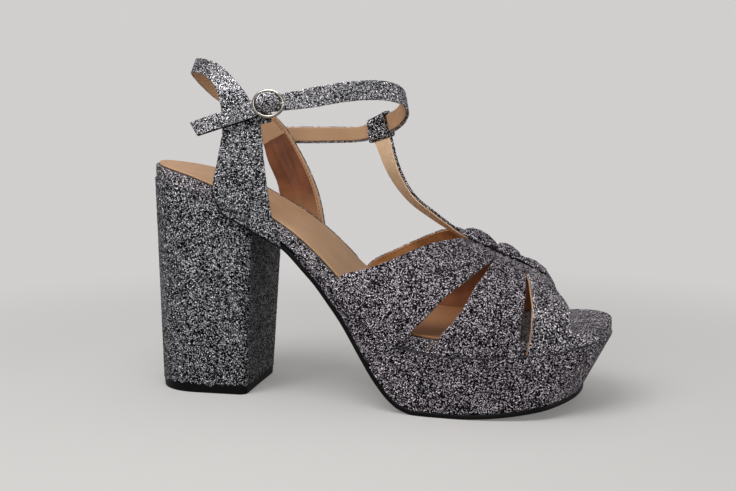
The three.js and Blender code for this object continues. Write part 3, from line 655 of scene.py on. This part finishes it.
def grained(name, first, second, size=0.35, patches=14, bump=0.5, roughness=0.5, gloss=0.5, foot=None):
    """A material with fine grain in its relief and soft patches in its colour. The foot is a third
    colour, a lower and an upper level between which it fades out, in metres."""
    material, tree, shader = new_material(name, {"Roughness": roughness, "Specular IOR Level": gloss})
    grain = use_group(tree, FINE_GRAIN, {
        "Size": size, "Patches": patches, "First": colour(*first), "Second": colour(*second),
    })
    tone = grain["Color"]
    if foot:
        parts = tree.nodes.new("ShaderNodeSeparateXYZ")
        put(tree, coordinates(tree), parts.inputs[0])
        tone = blend_node(tree, share_node(tree, parts.outputs["Z"], *foot[1:]), colour(*foot[0]), tone)
    put(tree, tone, shader["Base Color"])
    put(tree, relief_node(tree, grain["Height"], bump, 0.15), shader["Normal"])
    return material


def metal(name, tone, roughness):
    material, tree, shader = new_material(name, {"Base Color": colour(*tone), "Metallic": 1})
    wear = math_node(tree, "MULTIPLY_ADD", noise_node(tree, 900), 0.2, roughness - 0.1)
    put(tree, wear, shader["Roughness"])
    return material


COOL_GLITTER = glitter("glitter_cool_grey", (2, 2, 3), (40, 41, 44), (234, 234, 240))
# Painted light: a lighter copy of the grey glitter for the quarters
QUARTER_GLITTER_PAINTED_LIGHT = glitter("glitter_grey_painted_quarter_light", (8, 8, 10), (76, 76, 80), (236, 236, 242))
# Painted light: the lightest copy of the grey glitter, for the back strap, the ankle strap and its bulge,
# high in the top light
STRAP_GLITTER_PAINTED_LIGHT = glitter("glitter_grey_painted_strap_light", (46, 46, 50), (158, 156, 160), (248, 246, 250), 0.8)
WARM_GLITTER = glitter("glitter_lilac_grey", (3, 2, 3), (54, 49, 53), (242, 233, 242))
# Painted light: a lighter, rose-tinted copy of the glitter for the front band and the footbed
FRONT_GLITTER_PAINTED_LIGHT = glitter("glitter_rose_grey_painted_light", (12, 10, 12), (108, 102, 108), (254, 248, 254))
TAN = grained("tan_lining", (188, 150, 116), (180, 142, 108))
# Painted shade: the sock turns a deeper brown below 37 to 54 mm, where its front lies under the vamp
SOCK_TAN_PAINTED_SHADE = grained("tan_sock_painted_shade", (188, 150, 116), (180, 142, 108), foot=((150, 102, 64), 0.037, 0.054))
# Painted light: a paler copy of the tan lining for the T-strap's lit lining
PALE_TAN_PAINTED_LIGHT = grained("tan_lining_painted_light", (222, 190, 156), (208, 176, 142))
AMBER = grained("amber_lining", (198, 144, 90), (158, 106, 62), patches=9)
# Painted shade: a darker brown copy of the tan lining for the inner bands' linings
TAN_PAINTED_SHADE = grained("tan_lining_painted_shade", (156, 98, 62), (112, 66, 40), patches=16, bump=0.6)
# Painted shade: a darker brown copy of the tan lining for the inner quarter's lining; it turns lighter
# towards the bottom, below 80 to 100 mm
QUARTER_TAN_PAINTED_SHADE = grained("inner_quarter_lining_painted_shade", (134, 80, 48), (100, 56, 33), patches=12, bump=0.6,
                      foot=((190, 136, 92), 0.08, 0.1))
RUBBER = grained("black_rubber", (4, 4, 5), (9, 8, 10), 0.6, 7, 0.5, 0.4, gloss=0.22)
# Painted shade: the dark grey of the shaded joint between the vamp and the platform
SEAM_PAINTED_SHADE = grained("seam_painted_shade", (44, 42, 45), (78, 75, 79), 0.3, 1.5, 0.6, 0.8, gloss=0.1)
# Painted shade: the near-black of strap edges and knot creases that lie in shade
EDGE_PAINTED_SHADE = grained("cut_edge_painted_shade", (16, 15, 17), (34, 32, 35), 0.3, 2, 0.6, 0.8, gloss=0.1)
THREAD = grained("brown_thread", (128, 84, 54), (104, 68, 44), 0.2, 3, 0.3, 0.7)
CHAMPAGNE = metal("champagne_metal", (202, 196, 186), 0.16)


# The sole
def plan_edge(share, side, inset=0):
    half = np.maximum(half_at(share) - inset, 0)
    return np.stack([inset + share * (FOOT - 2 * inset), centre_at(share) + side * half], -1)


def lower_edge(share, side):
    half = np.maximum(half_at(share) + platform_reach(share) - 0.6, 0)
    return np.stack([lower_x(share), centre_at(share) + side * half], -1)


def platform_edge(share, side):
    half = half_at(share) + platform_reach(share)
    x = share * FOOT + PLATFORM_MARGIN * np.clip((share - 0.95) / 0.05, 0, 1)
    return np.stack([x, centre_at(share) + side * half], -1)


def heel_edge(share, side, level, proud=0):
    length = mix(HEEL_FLOOR_LENGTH, HEEL_TOP_LENGTH, level) + proud
    start = mix(HEEL_BACK_LEAN, 0, np.sqrt(level)) - proud
    half = heel_half(share, mix(HEEL_FLOOR_WIDTH, HEEL_TOP_WIDTH, level) / 2 + proud)
    return np.stack([start + share * (length - start), side * half], -1)


def ragged(points, reach, depth, seed):
    """Lowers the lowest points by a wave round the piece: a sum of sines of many lengths."""
    draw = np.random.default_rng(seed)
    turn = full_turn(points.shape[1])
    counts, phases = draw.integers(4, 60, 14), draw.uniform(0, 2 * np.pi, 14)
    wave = np.sin(counts[:, None] * turn + phases[:, None]).sum(0) / 6
    low = points[..., 2].min()
    weight = np.clip(1 - (points[..., 2] - low) / reach, 0, 1)
    points[..., 2] -= weight * depth * (0.5 + 0.5 * np.clip(wave, -1, 1))
    return points


def spine_of(x):
    return centre_at(x / FOOT)


def make_sole():
    share, side = outline(lambda s: heel_half(s, 27), 0, 1, GRAIN, HEEL_TOP_LENGTH)
    heel_points, faces = slab(
        heel_edge(share, side, 1, 0.12), heel_edge(share, side, LIFT_LEVEL, 0.16),
        lambda x: footbed_under(x) - upright(footbed_under, x, 0.1), lambda x: x * 0 + LIFT + GAP,
        lambda x: x * 0, 0.3, GRAIN)
    shape = ragged(heel_points, 4.5, 2.6, 5), faces
    glitter_piece("heel_cover", shape, COOL_GLITTER, "heel", 0.13, 0.2, 1)

    share, side = outline(lambda s: heel_half(s, 24), 0, 1, 1.2, HEEL_FLOOR_LENGTH)
    shape = slab(
        heel_edge(share, side, LIFT_LEVEL), heel_edge(share, side, 0), lambda x: x * 0 + LIFT,
        lambda x: x * 0, lambda x: x * 0, 0.5, 1)
    piece("heel_tip", shape, RUBBER, "top_lift")

    share, side = outline(half_at, (HEEL_TOP_LENGTH + GAP) / FOOT, 1, 1.2)
    edge = lower_edge(share, side)
    shape = slab(edge, edge, outsole_top, outsole_under, spine_of, 0.5, 0.8)
    piece("outsole_sheet", shape, RUBBER, "outsole")

    share, side = outline(half_at, PLATFORM_START, 1, GRAIN)
    shape = slab(
        platform_edge(share, side), lower_edge(share, side),
        lambda x: footbed_under(x) - upright(footbed_under, x, 0.08),
        lambda x: outsole_top(x) + upright(outsole_top, x, 0.1), spine_of, 0.3, GRAIN)
    glitter_piece("platform_cover", shape, WARM_GLITTER, "platform", 0.13, 0.2, 2)

    # Painted shade: a fine dark grey tube where the vamp and the footbed's cover meet the platform
    share = np.linspace(0.44, 0.965, 300)
    seam = platform_edge(share, -1)
    level = footbed_under(seam[:, 0]) - 0.1
    shape = tube(np.column_stack([seam + np.array([0, 0.12]), level]), 0.34, 7)
    piece("outer_platform_seam_painted_shade", shape, SEAM_PAINTED_SHADE, "platform")

    share, side = outline(half_at, 0, 1, GRAIN)
    edge = plan_edge(share, side)
    shape = slab(edge, edge, footbed_top, footbed_under, spine_of, 0.6, GRAIN, (2, 56))
    # Painted light: the footbed's cover takes the lighter rose glitter copy
    glitter_piece("footbed_cover", shape, FRONT_GLITTER_PAINTED_LIGHT, "footbed", 0.1, 0.15, 3)

    # The cover's fold stands a little above the sock along its inner edge
    run = np.linspace(0.14, 0.43, 150)
    fold = plan_edge(run, 1, 0.55)
    level = footbed_top(fold[:, 0]) + upright(footbed_top, fold[:, 0], 0.75)
    shape = tube(np.column_stack([fold, level]), 0.75, 9)
    glitter_piece("footbed_fold", shape, COOL_GLITTER, "footbed", 0.08, 0.1, 4)

    share, side = outline(half_at, 0, SOCK_FRONT, 1.2)
    edge = plan_edge(share, side, SOCK_INSET)
    shape = slab(
        edge, edge, lambda x: footbed_top(x) + upright(footbed_top, x, GAP + SOCK),
        lambda x: footbed_top(x) + upright(footbed_top, x, GAP), spine_of, 0.4, 0.3, (2, 12))
    # Painted shade on the sock's front, through its material
    piece("sock_lining", shape, SOCK_TAN_PAINTED_SHADE, "sock")


# The vamp
def gather(share, centres, width):
    """Soft troughs at the given shares across a band, each a bell curve."""
    return sum(np.exp(-((share - centre) / width) ** 2) for centre in centres)


def make_vamp():
    node = "vamp_with_t_strap"
    vamp_rear, vamp_front = smooth(VAMP["across"], VAMP["rear"]), smooth(VAMP["across"], VAMP["front"])

    def from_seam(across):
        return np.minimum(across, 1 - across)

    def gap_edge(rows, name):
        curve = smooth(rows["across"], rows[name])
        return lambda across: curve(from_seam(across))
    sides = {"outer": (0, 0.5, OUTER_GAPS), "inner": (0.5, 1, INNER_GAPS)}
    seed = 10
    for side, (first, last, gaps) in sides.items():
        bands = {
            "rear": (vamp_rear, gap_edge(gaps, "rear_back"), (0.3, 0.62, 0.84), 0.35),
            "middle": (gap_edge(gaps, "rear_fore"), gap_edge(gaps, "front_back"), (0.25, 0.55, 0.8), -0.2),
            "front": (gap_edge(gaps, "front_fore"), vamp_front, (0.3, 0.66), -0.5),
        }
        for band, (rear, front, troughs, peep) in bands.items():
            def surface(u, v, rear=rear, front=front, first=first, last=last):
                across = mix(first, last, np.asarray(v, float))
                return last_point(mix(rear(across), front(across), u), across)

            def crown(u, v, troughs=troughs, first=first, last=last):
                place = from_seam(mix(first, last, v))
                near_knot = np.clip((place - 0.26) / 0.16, 0, 1) ** 2
                belly = 0.9 * np.sin(np.pi * np.clip(u, 0, 1)) ** 0.7
                return near_knot * (belly - 0.8 * gather(u, troughs, 0.07)) + tuck(u, v)

            def tuck(u, v, first=first, last=last):
                """The bands dip under the knot."""
                return -1.9 * np.clip((from_seam(mix(first, last, v)) - 0.405) / 0.06, 0, 1)
            shape = strip(surface, 0.6, UPPER_WALL, crown=crown, rim=0.7)
            # The front band takes the lighter rose glitter copy: painted light
            cloth = FRONT_GLITTER_PAINTED_LIGHT if band == "front" else WARM_GLITTER
            glitter_piece(f"{side}_{band}_band", shape, cloth, node, 0.12, 0.18, seed)
            inset = peep, 0.35, 0.35, 0.35
            shape = strip(surface, 0, 0.6, cell=1.2, rim=0.35, crown=tuck, inset=inset)
            # The inner middle and front bands' linings take the darker brown copy: painted shade
            lining = TAN if side == "outer" else AMBER if band == "rear" else TAN_PAINTED_SHADE
            piece(f"{side}_{band}_lining", shape, lining, node)
            if lining == AMBER:
                def along_edge(v, u, surface=surface):
                    return surface(u, v)
                stitch_row("vamp_stitches", along_edge, 0.04, 0.8, 0.045, 0, node)
            seed += 1
    make_knot()


KNOT = table("start end lift rise", [
    (0.69, 0.758, 0.9, 5), (0.758, 0.81, 0.6, 4.8), (0.81, 0.866, -0.6, 4.2),
])


def make_knot():
    """Three rolls over the ridge: each is a stretched ball whose round is creased from side to side."""
    node = "vamp_with_t_strap"
    around, down = np.meshgrid(full_turn(90), np.linspace(0, np.pi, 46))
    for index, (start, end, lift, rise) in enumerate(zip(*KNOT.values())):
        middle = last_point(np.array((start + end) / 2), np.array(0.5))
        fore, aft = (last_point(np.array(share), np.array(0.5)) for share in (end, start))
        slope = (fore[2] - aft[2]) / (fore[0] - aft[0])
        half_long = (end - start) * FOOT / 2 + 0.7
        x = np.cos(around) * np.sin(down)
        y = np.sin(around) * np.sin(down)
        z = np.cos(down)
        crease = 1 - 0.05 * np.abs(np.sin(7 * x + 2 * y + index))
        x, y, z = x * half_long * crease, y * 8 * crease, z * rise * crease
        points = np.stack([middle[0] + x, middle[1] + y, middle[2] + lift + slope * x + z], -1)
        shape = points, grid_faces(46, 90, around=True)
        glitter_piece(f"knot_roll_{index + 1}", shape, WARM_GLITTER, node, 0.1, 0.12, 30 + index)
    # Painted shade: dark tubes in the crease where the bands run in under the rolls
    for name, across in (("outer_knot_crease_painted_shade", 0.455), ("inner_knot_crease_painted_shade", 0.545)):
        share = np.linspace(0.7, 0.862, 90)
        wave = 0.006 * np.cos(2 * np.pi * (share - 0.724) / 0.058) * np.sign(across - 0.5)
        shape = tube(last_point(share, across + wave) + np.array([0, 0, 1.1]), 0.6, 8)
        piece(name, shape, EDGE_PAINTED_SHADE, node)


# The straps
ankle_surface = strap_surface(ANKLE)
quarter_surface = strap_surface(QUARTERS)
t_surface = strap_surface(T_STRAP)
HALF_WALL = STRAP_WALL / 2


def stitch_row(name, surface, start, end, across, lift, node, pitch=2.3):
    """A row of short stitches along a surface at a share across it: each a small pointed capsule."""
    dense = np.linspace(start, end, 400)
    line = surface(dense, np.full(400, across))
    run = np.concatenate([[0], np.cumsum(np.linalg.norm(np.diff(line, axis=0), axis=1))])
    spots = np.interp(np.arange(pitch, run[-1] - pitch / 2, pitch), run, dense)
    step = 1e-3
    at = surface(spots, np.full(len(spots), across))
    way = surface(spots + step, np.full(len(spots), across)) - at
    beside = surface(spots, np.full(len(spots), across + step)) - at
    up = np.cross(way, beside)
    way, up = unit(way), unit(up)
    beside = np.cross(up, way)
    turn = full_turn(6)
    along, girth = np.array([-0.75, -0.5, 0, 0.5, 0.75]), np.array([0.0, 0.17, 0.21, 0.17, 0.0])
    ring = np.cos(turn)[:, None, None] * beside + np.sin(turn)[:, None, None] * up
    rings = (at + up * lift)[:, None, None] + along[:, None, None] * way[:, None, None]
    rings = rings + girth[:, None, None] * np.moveaxis(ring, 1, 0)[:, None]
    faces = grid_faces(5, 6, around=True)
    every = faces[None] + (np.arange(len(spots)) * 30)[:, None, None]
    piece(name, (rings, every.reshape(-1, 4)), THREAD, node)


def painted_shade_line(name, surface, us, vs, shift, radius, node):
    """Painted shade: a thin dark line along a strap's folded edge, where it lies in its own shade."""
    shape = tube(surface(us, vs) + np.array(shift), radius, 7)
    piece(name, shape, EDGE_PAINTED_SHADE, node)


def make_straps():
    node = "quarters_with_back_strap"
    # The quarters and the back strap take lighter copies of the glitter: painted light
    covers = {
        "outer_quarter_cover": (0, 0.335, QUARTER_GLITTER_PAINTED_LIGHT),
        "back_strap_cover": (0.325, 0.7, STRAP_GLITTER_PAINTED_LIGHT),
        "inner_quarter_cover": (0.69, 1, QUARTER_GLITTER_PAINTED_LIGHT),
    }
    for index, (name, (start, end, cloth)) in enumerate(covers.items()):
        shape = strip(quarter_surface, -HALF_WALL, 0.15, start=start, end=end)
        glitter_piece(name, shape, cloth, node, 0.1, 0.15, 60 + index)

    def creases(u, v):
        """Soft folds that run down the lining of the inner quarter."""
        within = np.exp(-((u - 0.86) / 0.1) ** 2)
        return within * (0.5 * np.exp(-((v - 0.35 - 0.5 * (u - 0.86)) / 0.06) ** 2)
                         - 0.35 * np.exp(-((v - 0.6 + 0.7 * (u - 0.86)) / 0.05) ** 2))
    down = np.linspace(0, 0.09, 50)
    across = np.linspace(0, 1, 90)
    # Painted shade along the quarter's rear and lower edges
    painted_shade_line("quarter_rear_edge_painted_shade", quarter_surface, down, down * 0 - 0.01, (0, -0.2, 0), 0.45, node)
    painted_shade_line("quarter_lower_edge_painted_shade", quarter_surface, across * 0 + 0.001, across, (0, -0.3, -0.35), 0.6, node)
    change = 0.797
    inset = 0.4, 0, 0.4, 0.5
    shape = strip(quarter_surface, 0.15, HALF_WALL, cell=1.1, rim=0.4, end=change, inset=inset)
    piece("back_strap_lining", shape, TAN, node)
    # Painted shade: the inner quarter's lining takes the darker brown copy of the tan lining
    shape = strip(quarter_surface, 0.15, HALF_WALL - 0.1, cell=0.8, rim=0.4, start=change,
                          inset=(-0.6, 0.4, 0.4, 0.5), crown=creases)
    piece("quarter_lining", shape, QUARTER_TAN_PAINTED_SHADE, node)

    def front_fold(u, v):
        return quarter_surface(u, mix(0.88, 0.99, np.asarray(v, float)))
    inside, outside = HALF_WALL - 0.3, HALF_WALL + 0.12
    shape = strip(front_fold, inside, outside, cell=0.8, rim=0.3, start=0.7, end=0.992)
    piece("quarter_fold", shape, TAN, node)
    stitch_row("patch_stitches", quarter_surface, 0.752, 0.792, 0.84, HALF_WALL, node, pitch=1.6)
    stitch_row("quarter_stitches", quarter_surface, 0.72, 0.99, 0.92, HALF_WALL + 0.12, node, pitch=2.1)

    node = "ankle_strap"
    # The ankle strap takes the lightest glitter copy: painted light
    shape = strip(ankle_surface, -HALF_WALL, 0.15)
    glitter_piece("ankle_strap_cover", shape, STRAP_GLITTER_PAINTED_LIGHT, node, 0.1, 0.15, 41)
    # Painted shade along the lower edge of the strap's free end
    end = np.linspace(0.8, 0.998, 90)
    painted_shade_line("ankle_strap_lower_edge_painted_shade", ankle_surface, end, end * 0, (0, -0.1, -0.1), 0.45, node)
    shape = strip(ankle_surface, 0.15, HALF_WALL, cell=1.1, rim=0.4, inset=(0.4, 0.4, 1.1, 0.35))
    piece("ankle_strap_lining", shape, TAN, node)

    node = "vamp_with_t_strap"
    shape = strip(t_surface, -0.15, HALF_WALL)
    glitter_piece("t_strap_cover", shape, WARM_GLITTER, node, 0.1, 0.15, 42)
    shape = strip(t_surface, -HALF_WALL, -0.15, cell=1.1, rim=0.4, inset=(0.4, 0.4, 0.4, 1))
    # Painted light: the T-strap's lining takes the paler copy of the tan lining
    piece("t_strap_lining", shape, PALE_TAN_PAINTED_LIGHT, node)
    make_loop()


def make_loop():
    """The loop round the ankle strap: a band carried round the strap's section, a rounded box."""
    wall = 1.4
    u = np.linspace(LOOP_START, LOOP_END, 16)
    edges = ankle_surface(u, np.zeros(16)), ankle_surface(u, np.ones(16))
    middle, across = (edges[0] + edges[1]) / 2, (edges[1] - edges[0]) / 2
    half = np.linalg.norm(across, axis=1, keepdims=True)
    across /= half
    forward = np.gradient(middle, axis=0)
    out = unit(np.cross(forward, across))
    turn = full_turn(84)
    circle = np.stack([np.cos(turn), np.sin(turn)], -1)
    box = np.sign(circle) * np.abs(circle) ** 0.35
    rings = []
    for level in (GAP, GAP + wall):
        reach = box[None, :, :1] * (half + level)[:, None] * across[:, None]
        rings.append(middle[:, None] + reach + box[None, :, 1:] * (HALF_WALL + level) * out[:, None])
    points = np.concatenate([rings[1], rings[0][::-1], rings[1][:1]])
    shape = points, grid_faces(len(points), 84, around=True)
    glitter_piece("loop_band", shape, COOL_GLITTER, "vamp_with_t_strap", 0.08, 0.12, 50)


def make_buckle():
    """An oval ring in front of the strap, a bar behind it, a prong on it, and the tab behind the bar."""
    spot = ankle_surface(np.array(BAR_SHARE), np.array(0.5))
    bar_depth = spot[1] + HALF_WALL + GAP + BAR
    ring_depth = bar_depth - BAR - WIRE + 0.35
    reach, rise = RING_WIDTH / 2 - WIRE, RING_RISE / 2 - WIRE
    turn = full_turn(120)
    oval = np.stack([reach * np.cos(turn), turn * 0, rise * np.sin(turn)], -1)
    shape = tube(oval + np.array([spot[0], ring_depth, spot[2]]), WIRE, 20, closed=True)
    piece("buckle_ring", shape, CHAMPAGNE, "buckle")
    height = np.linspace(-rise, rise, 9)
    post = np.stack([height * 0 + spot[0], height * 0 + bar_depth, height + spot[2]], -1)
    way = full_turn(16)
    around = np.stack([np.cos(way), np.sin(way), way * 0], -1) * BAR
    first, last = post[:1].repeat(16, 0), post[-1:].repeat(16, 0)
    points = np.concatenate([[first], post[:, None] + around[None], [last]])
    piece("buckle_bar", (points, grid_faces(len(points), 16, around=True)), CHAMPAGNE, "buckle")

    # Inside the ring the strap is gathered into a soft bulge
    turn, tilt = np.meshgrid(
        full_turn(60), np.linspace(-np.pi / 2, np.pi / 2, 24))
    bulge = np.stack([spot[0] - 0.2 + 5.7 * np.cos(tilt) * np.cos(turn),
                      spot[1] - 0.3 + 1.9 * np.sin(tilt),
                      spot[2] + 0.95 + 4.4 * np.cos(tilt) * np.sin(turn)], -1)
    shape = bulge, grid_faces(24, 60, around=True)
    # Painted light: the bulge takes the lightest glitter copy
    glitter_piece("strap_bulge", shape, STRAP_GLITTER_PAINTED_LIGHT, "ankle_strap", 0.08, 0.1, 52)

    t = np.linspace(0, 1, 24)
    hole = ankle_surface(np.array(12.3 / 17), np.array(0.5))
    start = np.array([hole[0], hole[1] - HALF_WALL + 0.3, spot[2]])
    tip = np.array([spot[0] + RING_WIDTH / 2, ring_depth - WIRE - GAP - 0.36, spot[2]])
    path = mix(start, tip, t[:, None])
    path[:, 1] += -0.35 * np.sin(np.pi * t)
    shape = tube(path, mix(0.62, 0.36, t), 12)
    piece("buckle_pin", shape, CHAMPAGNE, "buckle_prong")

    root = quarter_surface(np.array(3.2 / 13), np.array(1.0))
    behind = bar_depth + BAR + GAP + 0.6
    bend = smooth([0, 0.35, 0.85, 1], [root[1], root[1], behind, behind])

    def tab(u, v):
        u = np.asarray(u, float)
        level = spot[2] - RING_RISE / 2 - 3.6 + 2 * u + v * (8 - 2 * u)
        return np.stack(np.broadcast_arrays(root[0] - 2.4 + u * 9.4, bend(u), level), -1)
    # Painted shade: the tab takes the darkest glitter, for the shade under the ring
    shape = strip(tab, -0.6, 0.6, rim=0.5)
    glitter_piece("buckle_tab", shape, COOL_GLITTER, "quarters_with_back_strap", 0.08, 0.12, 51)


make_sole()
make_vamp()
make_straps()
make_buckle()


# The stage: a pale floor, soft light and the photograph's camera
WORLD_COLOUR = colour(216, 214, 213)
WORLD_LIGHT = 0.93
SOFT_LIGHT = 0.3


def make_stage():
    mesh = bpy.data.meshes.new("floor")
    reach = 6
    mesh.from_pydata([(-reach, -reach, 0), (reach, -reach, 0), (reach, reach, 0), (-reach, reach, 0)],
                     [], [(0, 1, 2, 3)])
    floor = bpy.data.objects.new("floor", mesh)
    bpy.context.scene.collection.objects.link(floor)
    mesh.materials.append(floor_finish())
    world = bpy.data.worlds.new("studio")
    world.use_nodes = True
    tree = world.node_tree
    light = tree.nodes["Background"].inputs
    put(tree, WORLD_COLOUR, light["Color"])
    # The backdrop that the camera sees is brighter than the light that it gives
    put(tree, camera_share(tree, SOFT_LIGHT, WORLD_LIGHT), light["Strength"])
    bpy.context.scene.world = world
    lamps = {
        "key": ((-0.4, -0.55, 0.75), 0.5, 2.9),
        "fill": ((0.8, -0.12, 0.13), 0.3, 1.1),
        "top": ((0.02, -0.2, 0.5), 0.3, 1.2),
        "sky": ((0.1, 0.3, 1.3), 1.6, 5),
        "front": ((0.2, -0.9, 0.2), 0.6, 1.7),
    }
    for name, (place, size, power) in lamps.items():
        lamp = bpy.data.lights.new(name, "AREA")
        lamp.size = size
        lamp.energy = power
        made = bpy.data.objects.new(name, lamp)
        made.location = place
        made.rotation_euler = (Vector((0.07, 0, 0.07)) - Vector(place)).to_track_quat("-Z", "Y").to_euler()
        bpy.context.scene.collection.objects.link(made)


def floor_finish():
    """A pale floor that fades with its distance from the middle into the light of the world, so that
    no horizon shows. Near the shoe it glows a little, which keeps the shadow soft, and it throws less
    light back on the shoe than the camera sees."""
    material, tree, shader = new_material("pale_floor", {
        "Emission Strength": 1, "Roughness": 0.8, "Specular IOR Level": 0,
    })
    away = math_node(tree, "DISTANCE", coordinates(tree), (0.09, -0.02, 0), kind="VectorMath")
    fade = share_node(tree, away.node.outputs["Value"], 0.1, 0.5)
    fade.node.interpolation_type = "SMOOTHSTEP"
    put(tree, relief_node(tree, noise_node(tree, 700), 0.1, 0.2), shader["Normal"])
    seen = camera_share(tree, 0.4, 1)
    near_glow, far_glow = (tuple(level * c for c in WORLD_COLOUR) for level in (0.22, WORLD_LIGHT))
    for socket, near, far in (("Base Color", colour(184, 182, 180), (0, 0, 0, 1)),
                              ("Emission Color", near_glow, far_glow)):
        tone = blend_node(tree, fade, near, far)
        put(tree, blend_node(tree, 1, tone, seen, "MULTIPLY"), shader[socket])
    return material


def make_camera():
    """The photograph's view: round and above the shoe by two angles, with a slight roll."""
    azimuth, elevation, roll = np.radians([11.7, 6.8, -0.2])
    target = np.array([0.086, -0.011, 0.075])
    distance = 0.44
    level = np.cos(elevation)
    back = np.array([np.sin(azimuth) * level, -np.cos(azimuth) * level, np.sin(elevation)])
    right = np.array([np.cos(azimuth), np.sin(azimuth), 0])
    up = np.cross(back, right)
    across = np.cos(roll) * right + np.sin(roll) * up
    above = np.cos(roll) * up - np.sin(roll) * right
    turned = Matrix(np.stack([across, above, back], 1).tolist()).to_4x4()
    turned.translation = Vector(target + back * distance)
    camera = bpy.data.objects.new("camera", bpy.data.cameras.new("camera"))
    # The lens is given by the photograph's width and its focal length, both in pixels
    sensor, width, focal = 36, 736, 900
    camera.data.sensor_width = sensor
    camera.data.lens = sensor * focal / width
    camera.data.clip_start = 0.01
    camera.matrix_world = turned
    bpy.context.scene.collection.objects.link(camera)
    bpy.context.scene.camera = camera


make_stage()
make_camera()
bpy.context.scene.view_settings.view_transform = "Standard"
